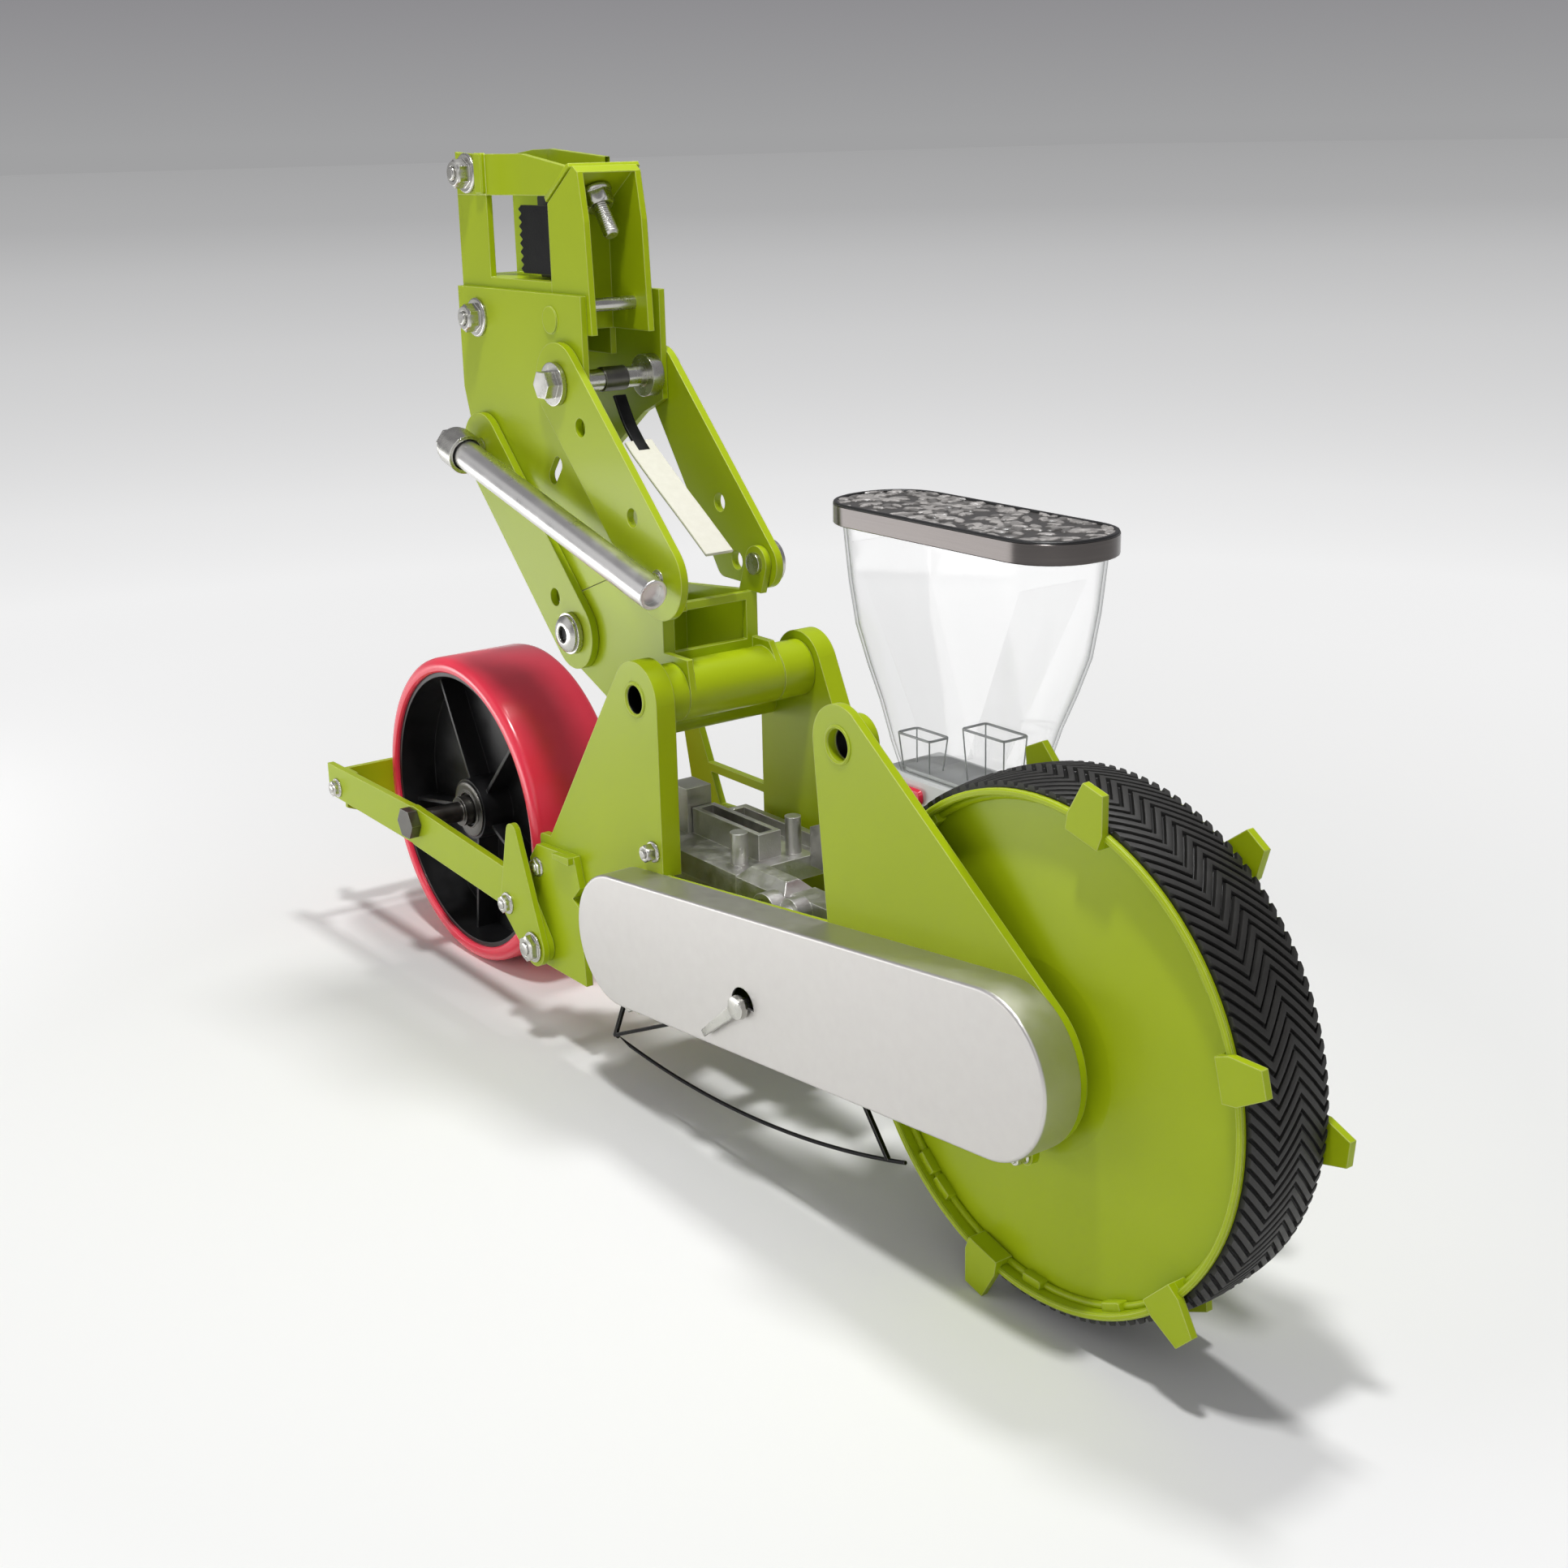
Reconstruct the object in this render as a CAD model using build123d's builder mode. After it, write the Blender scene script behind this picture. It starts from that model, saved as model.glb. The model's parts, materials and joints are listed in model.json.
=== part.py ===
"""Vegetable precision seeder row unit that hangs on a tractor toolbar.

Frame: +X from the press wheel to the lugged drive wheel, +Z up, the floor at Z = 0.
The near side, with the chain cover, is -Y. All sizes are millimetres.
"""
import math
import os

from build123d import *

os.makedirs("parts", exist_ok=True)

# Driving dimensions: main frame
tail_reach = 924.0        # from the drive axle to the rear end of the press wheel arms
mid_y = 7.0               # middle plane of the frame and the linkage tower
inner_half = 70.0         # half the room between the two side plates
plate_t = 6.0             # side plate thickness
run = 0.05                # radial clearance of a running fit
gap = 0.5                 # side clearance of plates that move past each other
near_in = mid_y - inner_half
near_out = near_in - plate_t
far_in = mid_y + inner_half
far_out = far_in + plate_t

# Driving dimensions: drive wheel
wheel_gap = 8.0           # from the side plate to the rim
rim_r = 160.0
rim_wall = 4.0
rim_width = 66.0
web_recess = 10.0
web_t = 4.0
tyre_t = 7.0
tyre_inset = 2.0
lug_count = 6
lug_t = 5.0
lug_reach = 22.0          # how far a lug stands out beyond the rim
lug_tip_r = rim_r + lug_reach
lug_tip_half = 8.0
lug_root_half = 14.0
axle_r = 10.0
hub_r = 26.0
rim_near = near_in + wheel_gap
rim_far = rim_near + rim_width
lug_half_step = 90.0 / lug_count
stance = math.radians(lug_half_step)
axle_z = lug_tip_r * math.cos(stance) + lug_tip_half * math.sin(stance)
far_lug_turn = 5.0        # the far ring of lugs is turned down by this from the X axis
far_turn = math.radians(far_lug_turn)
# Far lugs are a little shorter, so that none reaches past the stance of the near ring
far_tip_r = (axle_z - lug_tip_half * math.sin(far_turn)) / math.cos(far_turn)
axle_x = (tail_reach - axle_z) / 2

# Driving dimensions: chain drive
meter_back = 402.0        # meter shaft behind the drive axle
meter_drop = 42.0         # meter shaft below the drive axle
cover_depth = 28.0
cover_wall = 2.0
cover_front_r = 53.0
cover_rear_r = 50.0
cover_round = 2.0
chain_pitch = 12.7
drive_teeth = 15
driven_teeth = 18
sprocket_t = 5.0
shaft_r = 8.0
meter_x = axle_x - meter_back
meter_z = axle_z - meter_drop
cover_near = near_out - cover_depth
chain_y = near_out - cover_depth / 2
drive_pitch_r = chain_pitch / (2 * math.sin(math.pi / drive_teeth))
driven_pitch_r = chain_pitch / (2 * math.sin(math.pi / driven_teeth))

# Driving dimensions: hopper and seat
hopper_back = 177.5
hopper_off = 42.0         # hopper to the far side of the middle plane
hopper_foot_z = 284.0
hopper_rim_z = 452.0
hopper_wall = 2.5
lid_length = 232.0
lid_width = 82.0
lid_drop = 4.0            # how far the lid's skirt reaches below the hopper rim
lid_top_z = 463.0
lid_wall = 3.0
lid_round = 38.0
hopper_x = axle_x - hopper_back
hopper_y = mid_y + hopper_off

# Driving dimensions: press wheel and its arms
press_r = 136.0
press_width = 88.0
press_tread_t = 13.0
arm_t = 6.0
press_axle_r = 9.0
scraper_t = 4.0
scraper_gap = 14.0        # free way between the scraper and the tread
arm_tail = 19.0           # arm behind the scraper
scraper_x = axle_x - tail_reach + arm_tail
press_x = scraper_x + scraper_t + scraper_gap + press_r
arm_pivot_x = axle_x - 542.0
arm_pivot_z = 86.0

# Driving dimensions: linkage tower, upper pins A and lower pins B
tower_t = 5.0
tower_half = 42.0
link_t = 6.0
link_half = 30.0
link_run = 128.0          # link from its base pin to its head pin: backwards
link_rise = 127.5         # and upwards
pin_back = 123.0          # pin B lies behind pin A
pin_drop = 60.5           # and below it
pin_r = 8.0
pivot_back = 403.0
pivot_z = 314.0
tube_r = 17.0
tube_bore_r = 10.5
journal_r = 13.5
pivot_x = axle_x - pivot_back
a2_x = axle_x - 409.0
a2_z = 396.5
a1_x = a2_x - link_run
a1_z = a2_z + link_rise
b1_x = a1_x - pin_back
b1_z = a1_z - pin_drop
b2_x = a2_x - pin_back
b2_z = a2_z - pin_drop
tower_near = mid_y - tower_half
tower_far = mid_y + tower_half
link_near = tower_near - gap
link_far = tower_far + gap

# Driving dimensions: toolbar head
head_back = 694.0         # rear of the head behind the drive axle
head_length = 188.0
head_rear_x = axle_x - head_back
head_front_x = head_rear_x + head_length
head_low_z = 540.0
head_high_z = 657.0       # top of the toolbar window
head_wall = 5.0
band_h = 33.0
band_high_z = head_high_z + band_h
band_t = 4.0
window_post = 46.0        # solid post behind the window
window_length = 92.0
window_rear_x = head_rear_x + window_post
window_front_x = window_rear_x + window_length
window_low_z = 596.0
head_width = 54.0
head_near = tower_near + tower_t
head_far = head_near + head_width
head_mid = (head_near + head_far) / 2


def side(y):
    """Sketch plane across the width: local x is X, local y is Z, extrusion runs to -Y."""
    return Plane(origin=(0, y, 0), x_dir=(1, 0, 0), z_dir=(0, -1, 0))


def round_bar(x, z, radius, y0, y1, mode=Mode.ADD):
    """Cylinder along Y between y0 and y1."""
    with BuildSketch(side(y1)) as outline:
        with Locations((x, z)):
            Circle(radius)
    extrude(outline.sketch, amount=y1 - y0, mode=mode)


def hull_plate(circles, y0, y1, mode=Mode.ADD):
    """Plate between y0 and y1 whose outline wraps a list of circles (x, z, radius)."""
    with BuildSketch(side(y1)) as outline:
        for x, z, radius in circles:
            with Locations((x, z)):
                Circle(radius)
        make_hull()
    extrude(outline.sketch, amount=y1 - y0, mode=mode)


def hull_rim(circles, wall, low_z, y0, y1):
    """Raised edge between y0 and y1 along the outline that wraps the circles, from low_z up."""
    with BuildSketch(side(y1)) as outline:
        for x, z, radius in circles:
            with Locations((x, z)):
                Circle(radius)
        make_hull()
        offset(amount=-wall, mode=Mode.SUBTRACT)
        with Locations((0, 0)):
            Rectangle(2 * tail_reach, 2 * low_z, mode=Mode.SUBTRACT)
    extrude(outline.sketch, amount=y1 - y0)


def slab(points, y0, y1, mode=Mode.ADD):
    """Plate between y0 and y1 with a straight-edged outline of (x, z) points."""
    with BuildSketch(side(y1)) as outline:
        with BuildLine():
            Polyline(*points, close=True)
        make_face()
    extrude(outline.sketch, amount=y1 - y0, mode=mode)


def block(x0, x1, y0, y1, z0, z1, mode=Mode.ADD):
    """Box between two corners."""
    with Locations(((x0 + x1) / 2, (y0 + y1) / 2, (z0 + z1) / 2)):
        Box(x1 - x0, y1 - y0, z1 - z0, mode=mode)


def hexagon(x, z, across, y0, y1):
    """Hexagon head or nut along Y, by its width across flats."""
    with BuildSketch(side(y1)) as outline:
        with Locations((x, z)):
            RegularPolygon(across / 2, 6, major_radius=False)
    extrude(outline.sketch, amount=y1 - y0)


def save(piece, name):
    """Label a finished piece and write it as its own file."""
    piece.label = name
    export_step(piece, "parts/" + name + ".step")


# Side plates
ear_r = 28.0
flange_depth = 10.0       # folded edge of a rear ear, past the plate
flange_t = 5.0
flange_low_z = 186.0
front_ear_r = 26.0
front_ear_x = axle_x - 167.0
front_ear_z = 333.0
ear_edge_x = pivot_x + ear_r
ear_foot_z = 150.0
tail_x = axle_x - 552.0
tail_low_z = 84.0
tail_high_z = 172.0
bearing_r = 16.0
meter_bush_r = 12.0
meter_eye_r = 48.0
corner_r = 4.0
stop_bar_x = axle_x - 441.0
stop_bar_z = 279.7
spreader_r = 9.0
bolted_bars = [(axle_x - 464.0, meter_z - 24.0), (axle_x - 335.0, meter_z - 18.0)]
welded_bars = [(axle_x - 520.0, 120.0), (stop_bar_x, stop_bar_z)]
strip_outlines = [[(axle_x, axle_z, cover_front_r - 1), (meter_x, meter_z, meter_eye_r)],
                  [(meter_x, meter_z, meter_eye_r), (tail_x + corner_r, tail_low_z + corner_r, corner_r),
                   (tail_x + corner_r, tail_high_z, corner_r)]]
near_ear = [(pivot_x, pivot_z, ear_r), (tail_x + corner_r, tail_high_z - 20, corner_r),
            (ear_edge_x - corner_r, ear_foot_z, corner_r)]
far_ear_rear_x = stop_bar_x - spreader_r - 2
far_ear_front_x = axle_x - 304.0
far_ear = [(pivot_x, pivot_z, ear_r), (far_ear_rear_x + corner_r, stop_bar_z + spreader_r, corner_r),
           (far_ear_rear_x + corner_r, ear_foot_z, corner_r), (far_ear_front_x - corner_r, ear_foot_z + 20, corner_r)]
hump_outline = [(tail_x + 9, tail_high_z - 30), (tail_x - 11, 234), (tail_x + 11, 238), (tail_x + 23, 212),
                (tail_x + 52, tail_high_z - 22)]
tie_low_z = 203.0         # thin tie from the hump to the ear of the far plate
tie_high_z = 210.0
# Cover screws: x, z, pad radius, washer radius, width across flats
cover_screws = [(axle_x + 8.0, axle_z - cover_front_r - 5.0, 6.0, 4.5, 7.0),
                (meter_x - 16.0, meter_z - cover_rear_r - 10.0, 10.0, 8.0, 12.0),
                (meter_x + 16.0, meter_z + cover_rear_r + 18.0, 10.0, 8.0, 12.0)]


def side_plate(y0, ear, flange_y):
    """One side plate: drive axle eye, meter shaft strip, tail and an upright ear with a folded edge."""
    y1 = y0 + plate_t
    for outline in strip_outlines:
        hull_plate(outline, y0, y1)
    hull_plate(ear, y0, y1)
    hull_rim(ear, flange_t, flange_low_z, flange_y, flange_y + flange_depth)
    round_bar(pivot_x, pivot_z, journal_r + run, y0, y1, Mode.SUBTRACT)
    round_bar(axle_x, axle_z, bearing_r, y0, y1, Mode.SUBTRACT)


with BuildPart() as near_side_plate:
    side_plate(near_out, near_ear, near_in)
    hull_plate([(front_ear_x, front_ear_z, front_ear_r), (axle_x, axle_z, cover_front_r - 1),
                (front_ear_x - corner_r, ear_foot_z + 10, corner_r)], near_out, near_in)
    round_bar(front_ear_x, front_ear_z, tube_bore_r, near_out, near_in, Mode.SUBTRACT)
    for (screw_x, screw_z, pad_r, _, _), eye in zip(cover_screws[:2], ((axle_x, axle_z), (meter_x, meter_z))):
        toe = Vector(screw_x, screw_z) + (Vector(*eye) - Vector(screw_x, screw_z)) * 0.35
        hull_plate([(screw_x, screw_z, pad_r), (toe.X, toe.Y, pad_r + 4)], near_out, near_in)
    round_bar(axle_x, axle_z, bearing_r, near_out, near_in, Mode.SUBTRACT)
    round_bar(meter_x, meter_z, meter_bush_r, near_out, near_in, Mode.SUBTRACT)
save(near_side_plate.part, "near_side_plate")

with BuildPart() as far_side_plate:
    side_plate(far_in, far_ear, far_out)
    slab(hump_outline, far_in, far_out)
    block(tail_x + 12, far_ear_rear_x + 6, far_in, far_out, tie_low_z, tie_high_z)
save(far_side_plate.part, "far_side_plate")

# Cross bars that hold the two plates apart, and the stop bar under the tower
with BuildPart() as frame_spreaders:
    for bar_x, bar_z in bolted_bars + welded_bars:
        round_bar(bar_x, bar_z, spreader_r, near_in, far_in)
save(frame_spreaders.part, "frame_spreaders")

bolt_head_h = 7.0
bolt_across = 17.0
washer_t = 2.0
with BuildPart() as frame_bolts:
    for bar_x, bar_z in bolted_bars:
        hexagon(bar_x, bar_z, bolt_across, near_out - bolt_head_h, near_out)
        hexagon(bar_x, bar_z, bolt_across, far_out, far_out + bolt_head_h)
    for screw_x, screw_z, _, washer_r, across in cover_screws:
        round_bar(screw_x, screw_z, washer_r, near_out - washer_t, near_out)
        hexagon(screw_x, screw_z, across, near_out - washer_t - bolt_head_h, near_out - washer_t)
save(frame_bolts.part, "frame_bolts")

boss_length = 14.0
boss_r = 17.0
with BuildPart() as front_ear_boss:
    round_bar(front_ear_x, front_ear_z, boss_r, near_in, near_in + boss_length)
    round_bar(front_ear_x, front_ear_z, tube_bore_r, near_in, near_in + boss_length, Mode.SUBTRACT)
save(front_ear_boss.part, "front_ear_boss")

bush_flange_r = 22.0
bush_flange_t = 3.0
with BuildPart() as shaft_bearings:
    for y0, y1, flange_y in ((near_out, near_in, near_in), (far_in, far_out, far_in - bush_flange_t)):
        round_bar(axle_x, axle_z, bearing_r, y0, y1)
        round_bar(axle_x, axle_z, bush_flange_r, flange_y, flange_y + bush_flange_t)
    round_bar(axle_x, axle_z, axle_r + run, near_out, far_out, Mode.SUBTRACT)
    round_bar(meter_x, meter_z, meter_bush_r, near_out, near_in)
    round_bar(meter_x, meter_z, meter_bush_r + 6, near_in, near_in + bush_flange_t)
    round_bar(meter_x, meter_z, shaft_r + run, near_out, near_in + bush_flange_t, Mode.SUBTRACT)
save(shaft_bearings.part, "shaft_bearings")

# Drive wheel: dished rim, hub, tyre, lugs, axle
axis_y = Axis((axle_x, 0, axle_z), (0, 1, 0))
wheel_plane = Plane(origin=(axle_x, 0, axle_z), x_dir=(1, 0, 0), z_dir=(0, 0, 1))
web_y = rim_near + web_recess
web_flat_r = 60.0
web_crown = 8.0
with BuildPart() as wheel_rim:
    with BuildSketch(wheel_plane):
        with BuildLine():
            Polyline((rim_r - rim_wall, rim_near), (rim_r, rim_near), (rim_r, rim_far), (rim_r - rim_wall, rim_far),
                     (rim_r - rim_wall, web_y + web_t), (web_flat_r, web_y + web_t - web_crown),
                     (hub_r, web_y + web_t - web_crown), (hub_r, web_y - web_crown), (web_flat_r, web_y - web_crown),
                     (rim_r - rim_wall, web_y), close=True)
        make_face()
    revolve(axis=axis_y)
save(wheel_rim.part, "wheel_rim")

hub_flange_r = 46.0
hub_flange_t = 6.0
hub_near = web_y - web_crown - 4
hub_far = rim_far + 6
with BuildPart() as wheel_hub:
    round_bar(axle_x, axle_z, hub_r, hub_near, hub_far)
    round_bar(axle_x, axle_z, hub_flange_r, web_y + web_t - web_crown, web_y + web_t - web_crown + hub_flange_t)
    round_bar(axle_x, axle_z, axle_r, hub_near, hub_far, Mode.SUBTRACT)
save(wheel_hub.part, "wheel_hub")

with BuildPart() as tyre:
    with BuildSketch(wheel_plane):
        with BuildLine():
            edge = Polyline((rim_r + tyre_t - 3, rim_far - tyre_inset), (rim_r, rim_far - tyre_inset),
                            (rim_r, rim_near + tyre_inset), (rim_r + tyre_t - 3, rim_near + tyre_inset))
            ThreePointArc(edge @ 1, (rim_r + tyre_t, (rim_near + rim_far) / 2), edge @ 0)
        make_face()
    revolve(axis=axis_y)
save(tyre.part, "tyre")

lug_tab = 8.5             # leg of a lug that is folded over the rim edge into the dish
lug_tab_half = 13.0
lug_tab_r = rim_r - rim_wall - 1
lug_root_r = lug_tab_r - lug_t


def lugs(y0, inward, first_angle, tip_r):
    """Ring of tapered lug plates on one rim edge, each with a leg folded inside the rim."""
    lug_plane = Plane(origin=(axle_x, y0 + lug_t, axle_z), x_dir=(1, 0, 0), z_dir=(0, -1, 0))
    with BuildSketch(lug_plane) as prongs:
        with PolarLocations(0, lug_count, start_angle=first_angle):
            Polygon((lug_root_r, -lug_tab_half), (rim_r, -lug_root_half), (tip_r, -lug_tip_half),
                    (tip_r, lug_tip_half), (rim_r, lug_root_half), (lug_root_r, lug_tab_half), align=None)
    extrude(prongs.sketch, amount=lug_t)
    with BuildSketch(lug_plane) as tabs:
        with PolarLocations(0, lug_count, start_angle=first_angle):
            Polygon((lug_root_r, -lug_tab_half), (lug_tab_r, -lug_tab_half), (lug_tab_r, lug_tab_half),
                    (lug_root_r, lug_tab_half), align=None)
    if inward > 0:
        extrude(tabs.sketch, amount=-lug_tab)
    else:
        extrude(tabs.sketch, amount=lug_tab + lug_t)


with BuildPart() as near_lugs:
    lugs(rim_near - lug_t, 1, lug_half_step, lug_tip_r)
save(near_lugs.part, "near_lugs")

with BuildPart() as far_lugs:
    lugs(rim_far, -1, -far_lug_turn, far_tip_r)
save(far_lugs.part, "far_lugs")

axle_end_gap = 3.0
axle_near = cover_near + cover_wall + axle_end_gap
axle_nut_h = 12.0
with BuildPart() as wheel_axle:
    round_bar(axle_x, axle_z, axle_r, axle_near, far_out + axle_nut_h + 3)
save(wheel_axle.part, "wheel_axle")

with BuildPart() as axle_collars:
    round_bar(axle_x, axle_z, axle_r + 5, hub_far, far_in - bush_flange_t - gap)
    hexagon(axle_x, axle_z, 30.0, far_out + gap, far_out + gap + axle_nut_h)
    round_bar(axle_x, axle_z, axle_r, hub_far, far_out + gap + axle_nut_h, Mode.SUBTRACT)
save(axle_collars.part, "axle_collars")


# Chain drive under the cover
tooth_top = 4.3
tooth_root = 4.6


def sprocket(x, z, teeth, pitch_r, bore_r, boss_r_):
    """Toothed wheel on the chain line with a boss on both sides."""
    plane = Plane(origin=(x, chain_y + sprocket_t / 2, z), x_dir=(1, 0, 0), z_dir=(0, -1, 0))
    with BuildSketch(plane) as teeth_outline:
        Circle(pitch_r - tooth_root)
        with PolarLocations(0, teeth):
            Polygon((pitch_r - tooth_root - 2, -3.2), (pitch_r + tooth_top, -1.0), (pitch_r + tooth_top, 1.0),
                    (pitch_r - tooth_root - 2, 3.2), align=None)
    extrude(teeth_outline.sketch, amount=sprocket_t)
    round_bar(x, z, boss_r_, chain_y - 6, near_out - 2)
    round_bar(x, z, bore_r, chain_y - 6, near_out - 2, Mode.SUBTRACT)


with BuildPart() as drive_sprocket:
    sprocket(axle_x, axle_z, drive_teeth, drive_pitch_r, axle_r, 17.0)
save(drive_sprocket.part, "drive_sprocket")

with BuildPart() as driven_sprocket:
    sprocket(meter_x, meter_z, driven_teeth, driven_pitch_r, shaft_r, 15.0)
save(driven_sprocket.part, "driven_sprocket")

link_plate_t = 1.4
link_plate_half = 5.0
roller_r = 4.2
inside_half = 4.0
span = math.hypot(meter_back, meter_drop)
line_angle = math.atan2(meter_z - axle_z, meter_x - axle_x)
lean = math.asin((driven_pitch_r - drive_pitch_r) / span)
with BuildPart() as drive_chain:
    for plate_y in (chain_y - inside_half - link_plate_t, chain_y + inside_half):
        for pad, mode in ((link_plate_half, Mode.ADD), (-link_plate_half, Mode.SUBTRACT)):
            hull_plate([(axle_x, axle_z, drive_pitch_r + pad), (meter_x, meter_z, driven_pitch_r + pad)],
                       plate_y, plate_y + link_plate_t, mode)
    with BuildSketch(side(chain_y + inside_half)):
        for turn in (1, -1):
            normal = line_angle + turn * (math.pi / 2 + lean)
            start_x = axle_x + drive_pitch_r * math.cos(normal)
            start_z = axle_z + drive_pitch_r * math.sin(normal)
            along = normal - turn * math.pi / 2
            free = math.sqrt(span ** 2 - (driven_pitch_r - drive_pitch_r) ** 2)
            reach = math.sqrt((driven_pitch_r + 12) ** 2 - driven_pitch_r ** 2)
            count = int((free - 2 * reach) / chain_pitch)
            for step in range(count + 1):
                distance = reach + step * chain_pitch
                with Locations((start_x + distance * math.cos(along), start_z + distance * math.sin(along))):
                    Circle(roller_r)
    extrude(amount=2 * inside_half)
save(drive_chain.part, "drive_chain")

guide_normal = line_angle - (math.pi / 2 + lean)
guide_along = guide_normal + math.pi / 2
guide_t = 14.0
guide_points = []
for distance, depth in ((140.0, 0.0), (230.0, 0.0), (220.0, guide_t), (150.0, guide_t)):
    off = drive_pitch_r - link_plate_half - depth
    guide_points.append((axle_x + off * math.cos(guide_normal) + distance * math.cos(guide_along),
                         axle_z + off * math.sin(guide_normal) + distance * math.sin(guide_along)))
with BuildPart() as chain_guide:
    slab(guide_points, chain_y - inside_half - link_plate_t, near_out)
save(chain_guide.part, "chain_guide")

latch_x = axle_x - 239.0
latch_z = 140.0
latch_pin_r = 5.0
latch_slot_r = 13.0
with BuildPart() as chain_cover:
    hull_plate([(axle_x, axle_z, cover_front_r), (meter_x, meter_z, cover_rear_r)], cover_near, near_out)
    fillet(chain_cover.edges().group_by(Axis.Y)[0], cover_round)
    hull_plate([(axle_x, axle_z, cover_front_r - cover_wall), (meter_x, meter_z, cover_rear_r - cover_wall)],
               cover_near + cover_wall, near_out, Mode.SUBTRACT)
    with BuildSketch(side(cover_near + cover_wall)):
        with Locations((latch_x, latch_z)):
            Circle(latch_slot_r)
            with Locations((0, -latch_slot_r)):
                Rectangle(2 * latch_slot_r, 2 * latch_slot_r, mode=Mode.SUBTRACT)
            Circle(latch_pin_r + run)
    extrude(amount=cover_wall, mode=Mode.SUBTRACT)
save(chain_cover.part, "chain_cover")

latch_clear = 1.5
latch_t = 6.0
latch_dx = -43.0
latch_dz = -34.0
with BuildPart() as cover_latch:
    round_bar(latch_x, latch_z, latch_pin_r, cover_near - latch_clear, cover_near + 10)
    hull_plate([(latch_x, latch_z, 7.0), (latch_x + latch_dx * 0.2, latch_z + latch_dz * 0.2, 5.0)],
               cover_near - latch_clear - latch_t, cover_near - latch_clear)
    hull_plate([(latch_x, latch_z, 4.5), (latch_x + latch_dx, latch_z + latch_dz, 2.6)],
               cover_near - latch_clear - latch_t, cover_near - latch_clear - 1)
    hull_plate([(latch_x, latch_z, 7.0), (latch_x + 16, latch_z + 10, 4.0)], cover_near + cover_wall + 1, cover_near + 6)
save(cover_latch.part, "cover_latch")

# Seed meter: shaft, roller with cells, casting with an open tray
cell_count = 14
cell_r = 3.2
roller_rim_r = 32.0
roller_half = 15.0
meter_half = 30.0
barrel_r = 38.0
meter_base_z = meter_z - barrel_r
outlet_r = 8.5
chamber_r = roller_rim_r + 2
table_rear_x = axle_x - 462.0
table_front_x = axle_x - 332.0
table_near = mid_y - 42.0
table_far = mid_y + 60.0
table_low_z = meter_z + 40.0
table_high_z = table_low_z + 17.0
pocket_near = mid_y + 29.0
pocket_wall = 6.0
pocket_floor_z = table_low_z + 6.0
trough_rear_x = axle_x - 430.0
trough_front_x = axle_x - 345.0
trough_near = mid_y - 12.0
trough_far = mid_y + 8.0
trough_wall = 4.0
trough_high_z = table_high_z + 20.0
feed_half = 16.0
meter_shaft_far = mid_y + meter_half + 14
with BuildPart() as meter_shaft:
    round_bar(meter_x, meter_z, shaft_r, axle_near, meter_shaft_far)
    round_bar(meter_x, meter_z, shaft_r + 5, mid_y + meter_half + gap, meter_shaft_far - 2)
save(meter_shaft.part, "meter_shaft")

with BuildPart() as seed_roller:
    round_bar(meter_x, meter_z, roller_rim_r, mid_y - roller_half, mid_y + roller_half)
    round_bar(meter_x, meter_z, shaft_r, mid_y - roller_half, mid_y + roller_half, Mode.SUBTRACT)
    for cell in range(cell_count):
        turn = 2 * math.pi * cell / cell_count
        with Locations((meter_x + roller_rim_r * math.cos(turn), mid_y, meter_z + roller_rim_r * math.sin(turn))):
            Sphere(cell_r, mode=Mode.SUBTRACT)
save(seed_roller.part, "seed_roller")

with BuildPart() as meter_housing:
    round_bar(meter_x, meter_z, barrel_r, mid_y - meter_half, mid_y + meter_half)
    block(meter_x - 76, meter_x + 82, mid_y - meter_half, mid_y + meter_half, meter_base_z, meter_base_z + 34)
    block(meter_x - 46, meter_x + 46, mid_y - meter_half, mid_y + meter_half, meter_z, table_low_z)
    block(table_rear_x, table_front_x, table_near, table_far, table_low_z, table_high_z)
    block(trough_rear_x, trough_front_x, trough_near, trough_far, table_high_z, trough_high_z)
    block(table_rear_x + pocket_wall, table_front_x - pocket_wall, pocket_near, table_far - pocket_wall,
          pocket_floor_z, table_high_z, Mode.SUBTRACT)
    block(meter_x - feed_half, meter_x + feed_half, trough_far - trough_wall, pocket_near, pocket_floor_z, table_high_z,
          Mode.SUBTRACT)
    block(trough_rear_x + trough_wall, trough_front_x - trough_wall, trough_near + trough_wall, trough_far - trough_wall,
          table_high_z, trough_high_z, Mode.SUBTRACT)
    block(meter_x - feed_half, meter_x + feed_half, trough_near + trough_wall, trough_far - trough_wall, meter_z,
          table_high_z, Mode.SUBTRACT)
    round_bar(meter_x, meter_z, chamber_r, mid_y - roller_half - 2, mid_y + roller_half + 2, Mode.SUBTRACT)
    with Locations((meter_x, mid_y, meter_base_z)):
        Cylinder(outlet_r, 40, mode=Mode.SUBTRACT)
    round_bar(meter_x, meter_z, shaft_r + run, mid_y - meter_half, mid_y + meter_half, Mode.SUBTRACT)
    for bar_x, bar_z in bolted_bars:
        round_bar(bar_x, bar_z, spreader_r, mid_y - meter_half, mid_y + meter_half, Mode.SUBTRACT)
save(meter_housing.part, "meter_housing")

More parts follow.
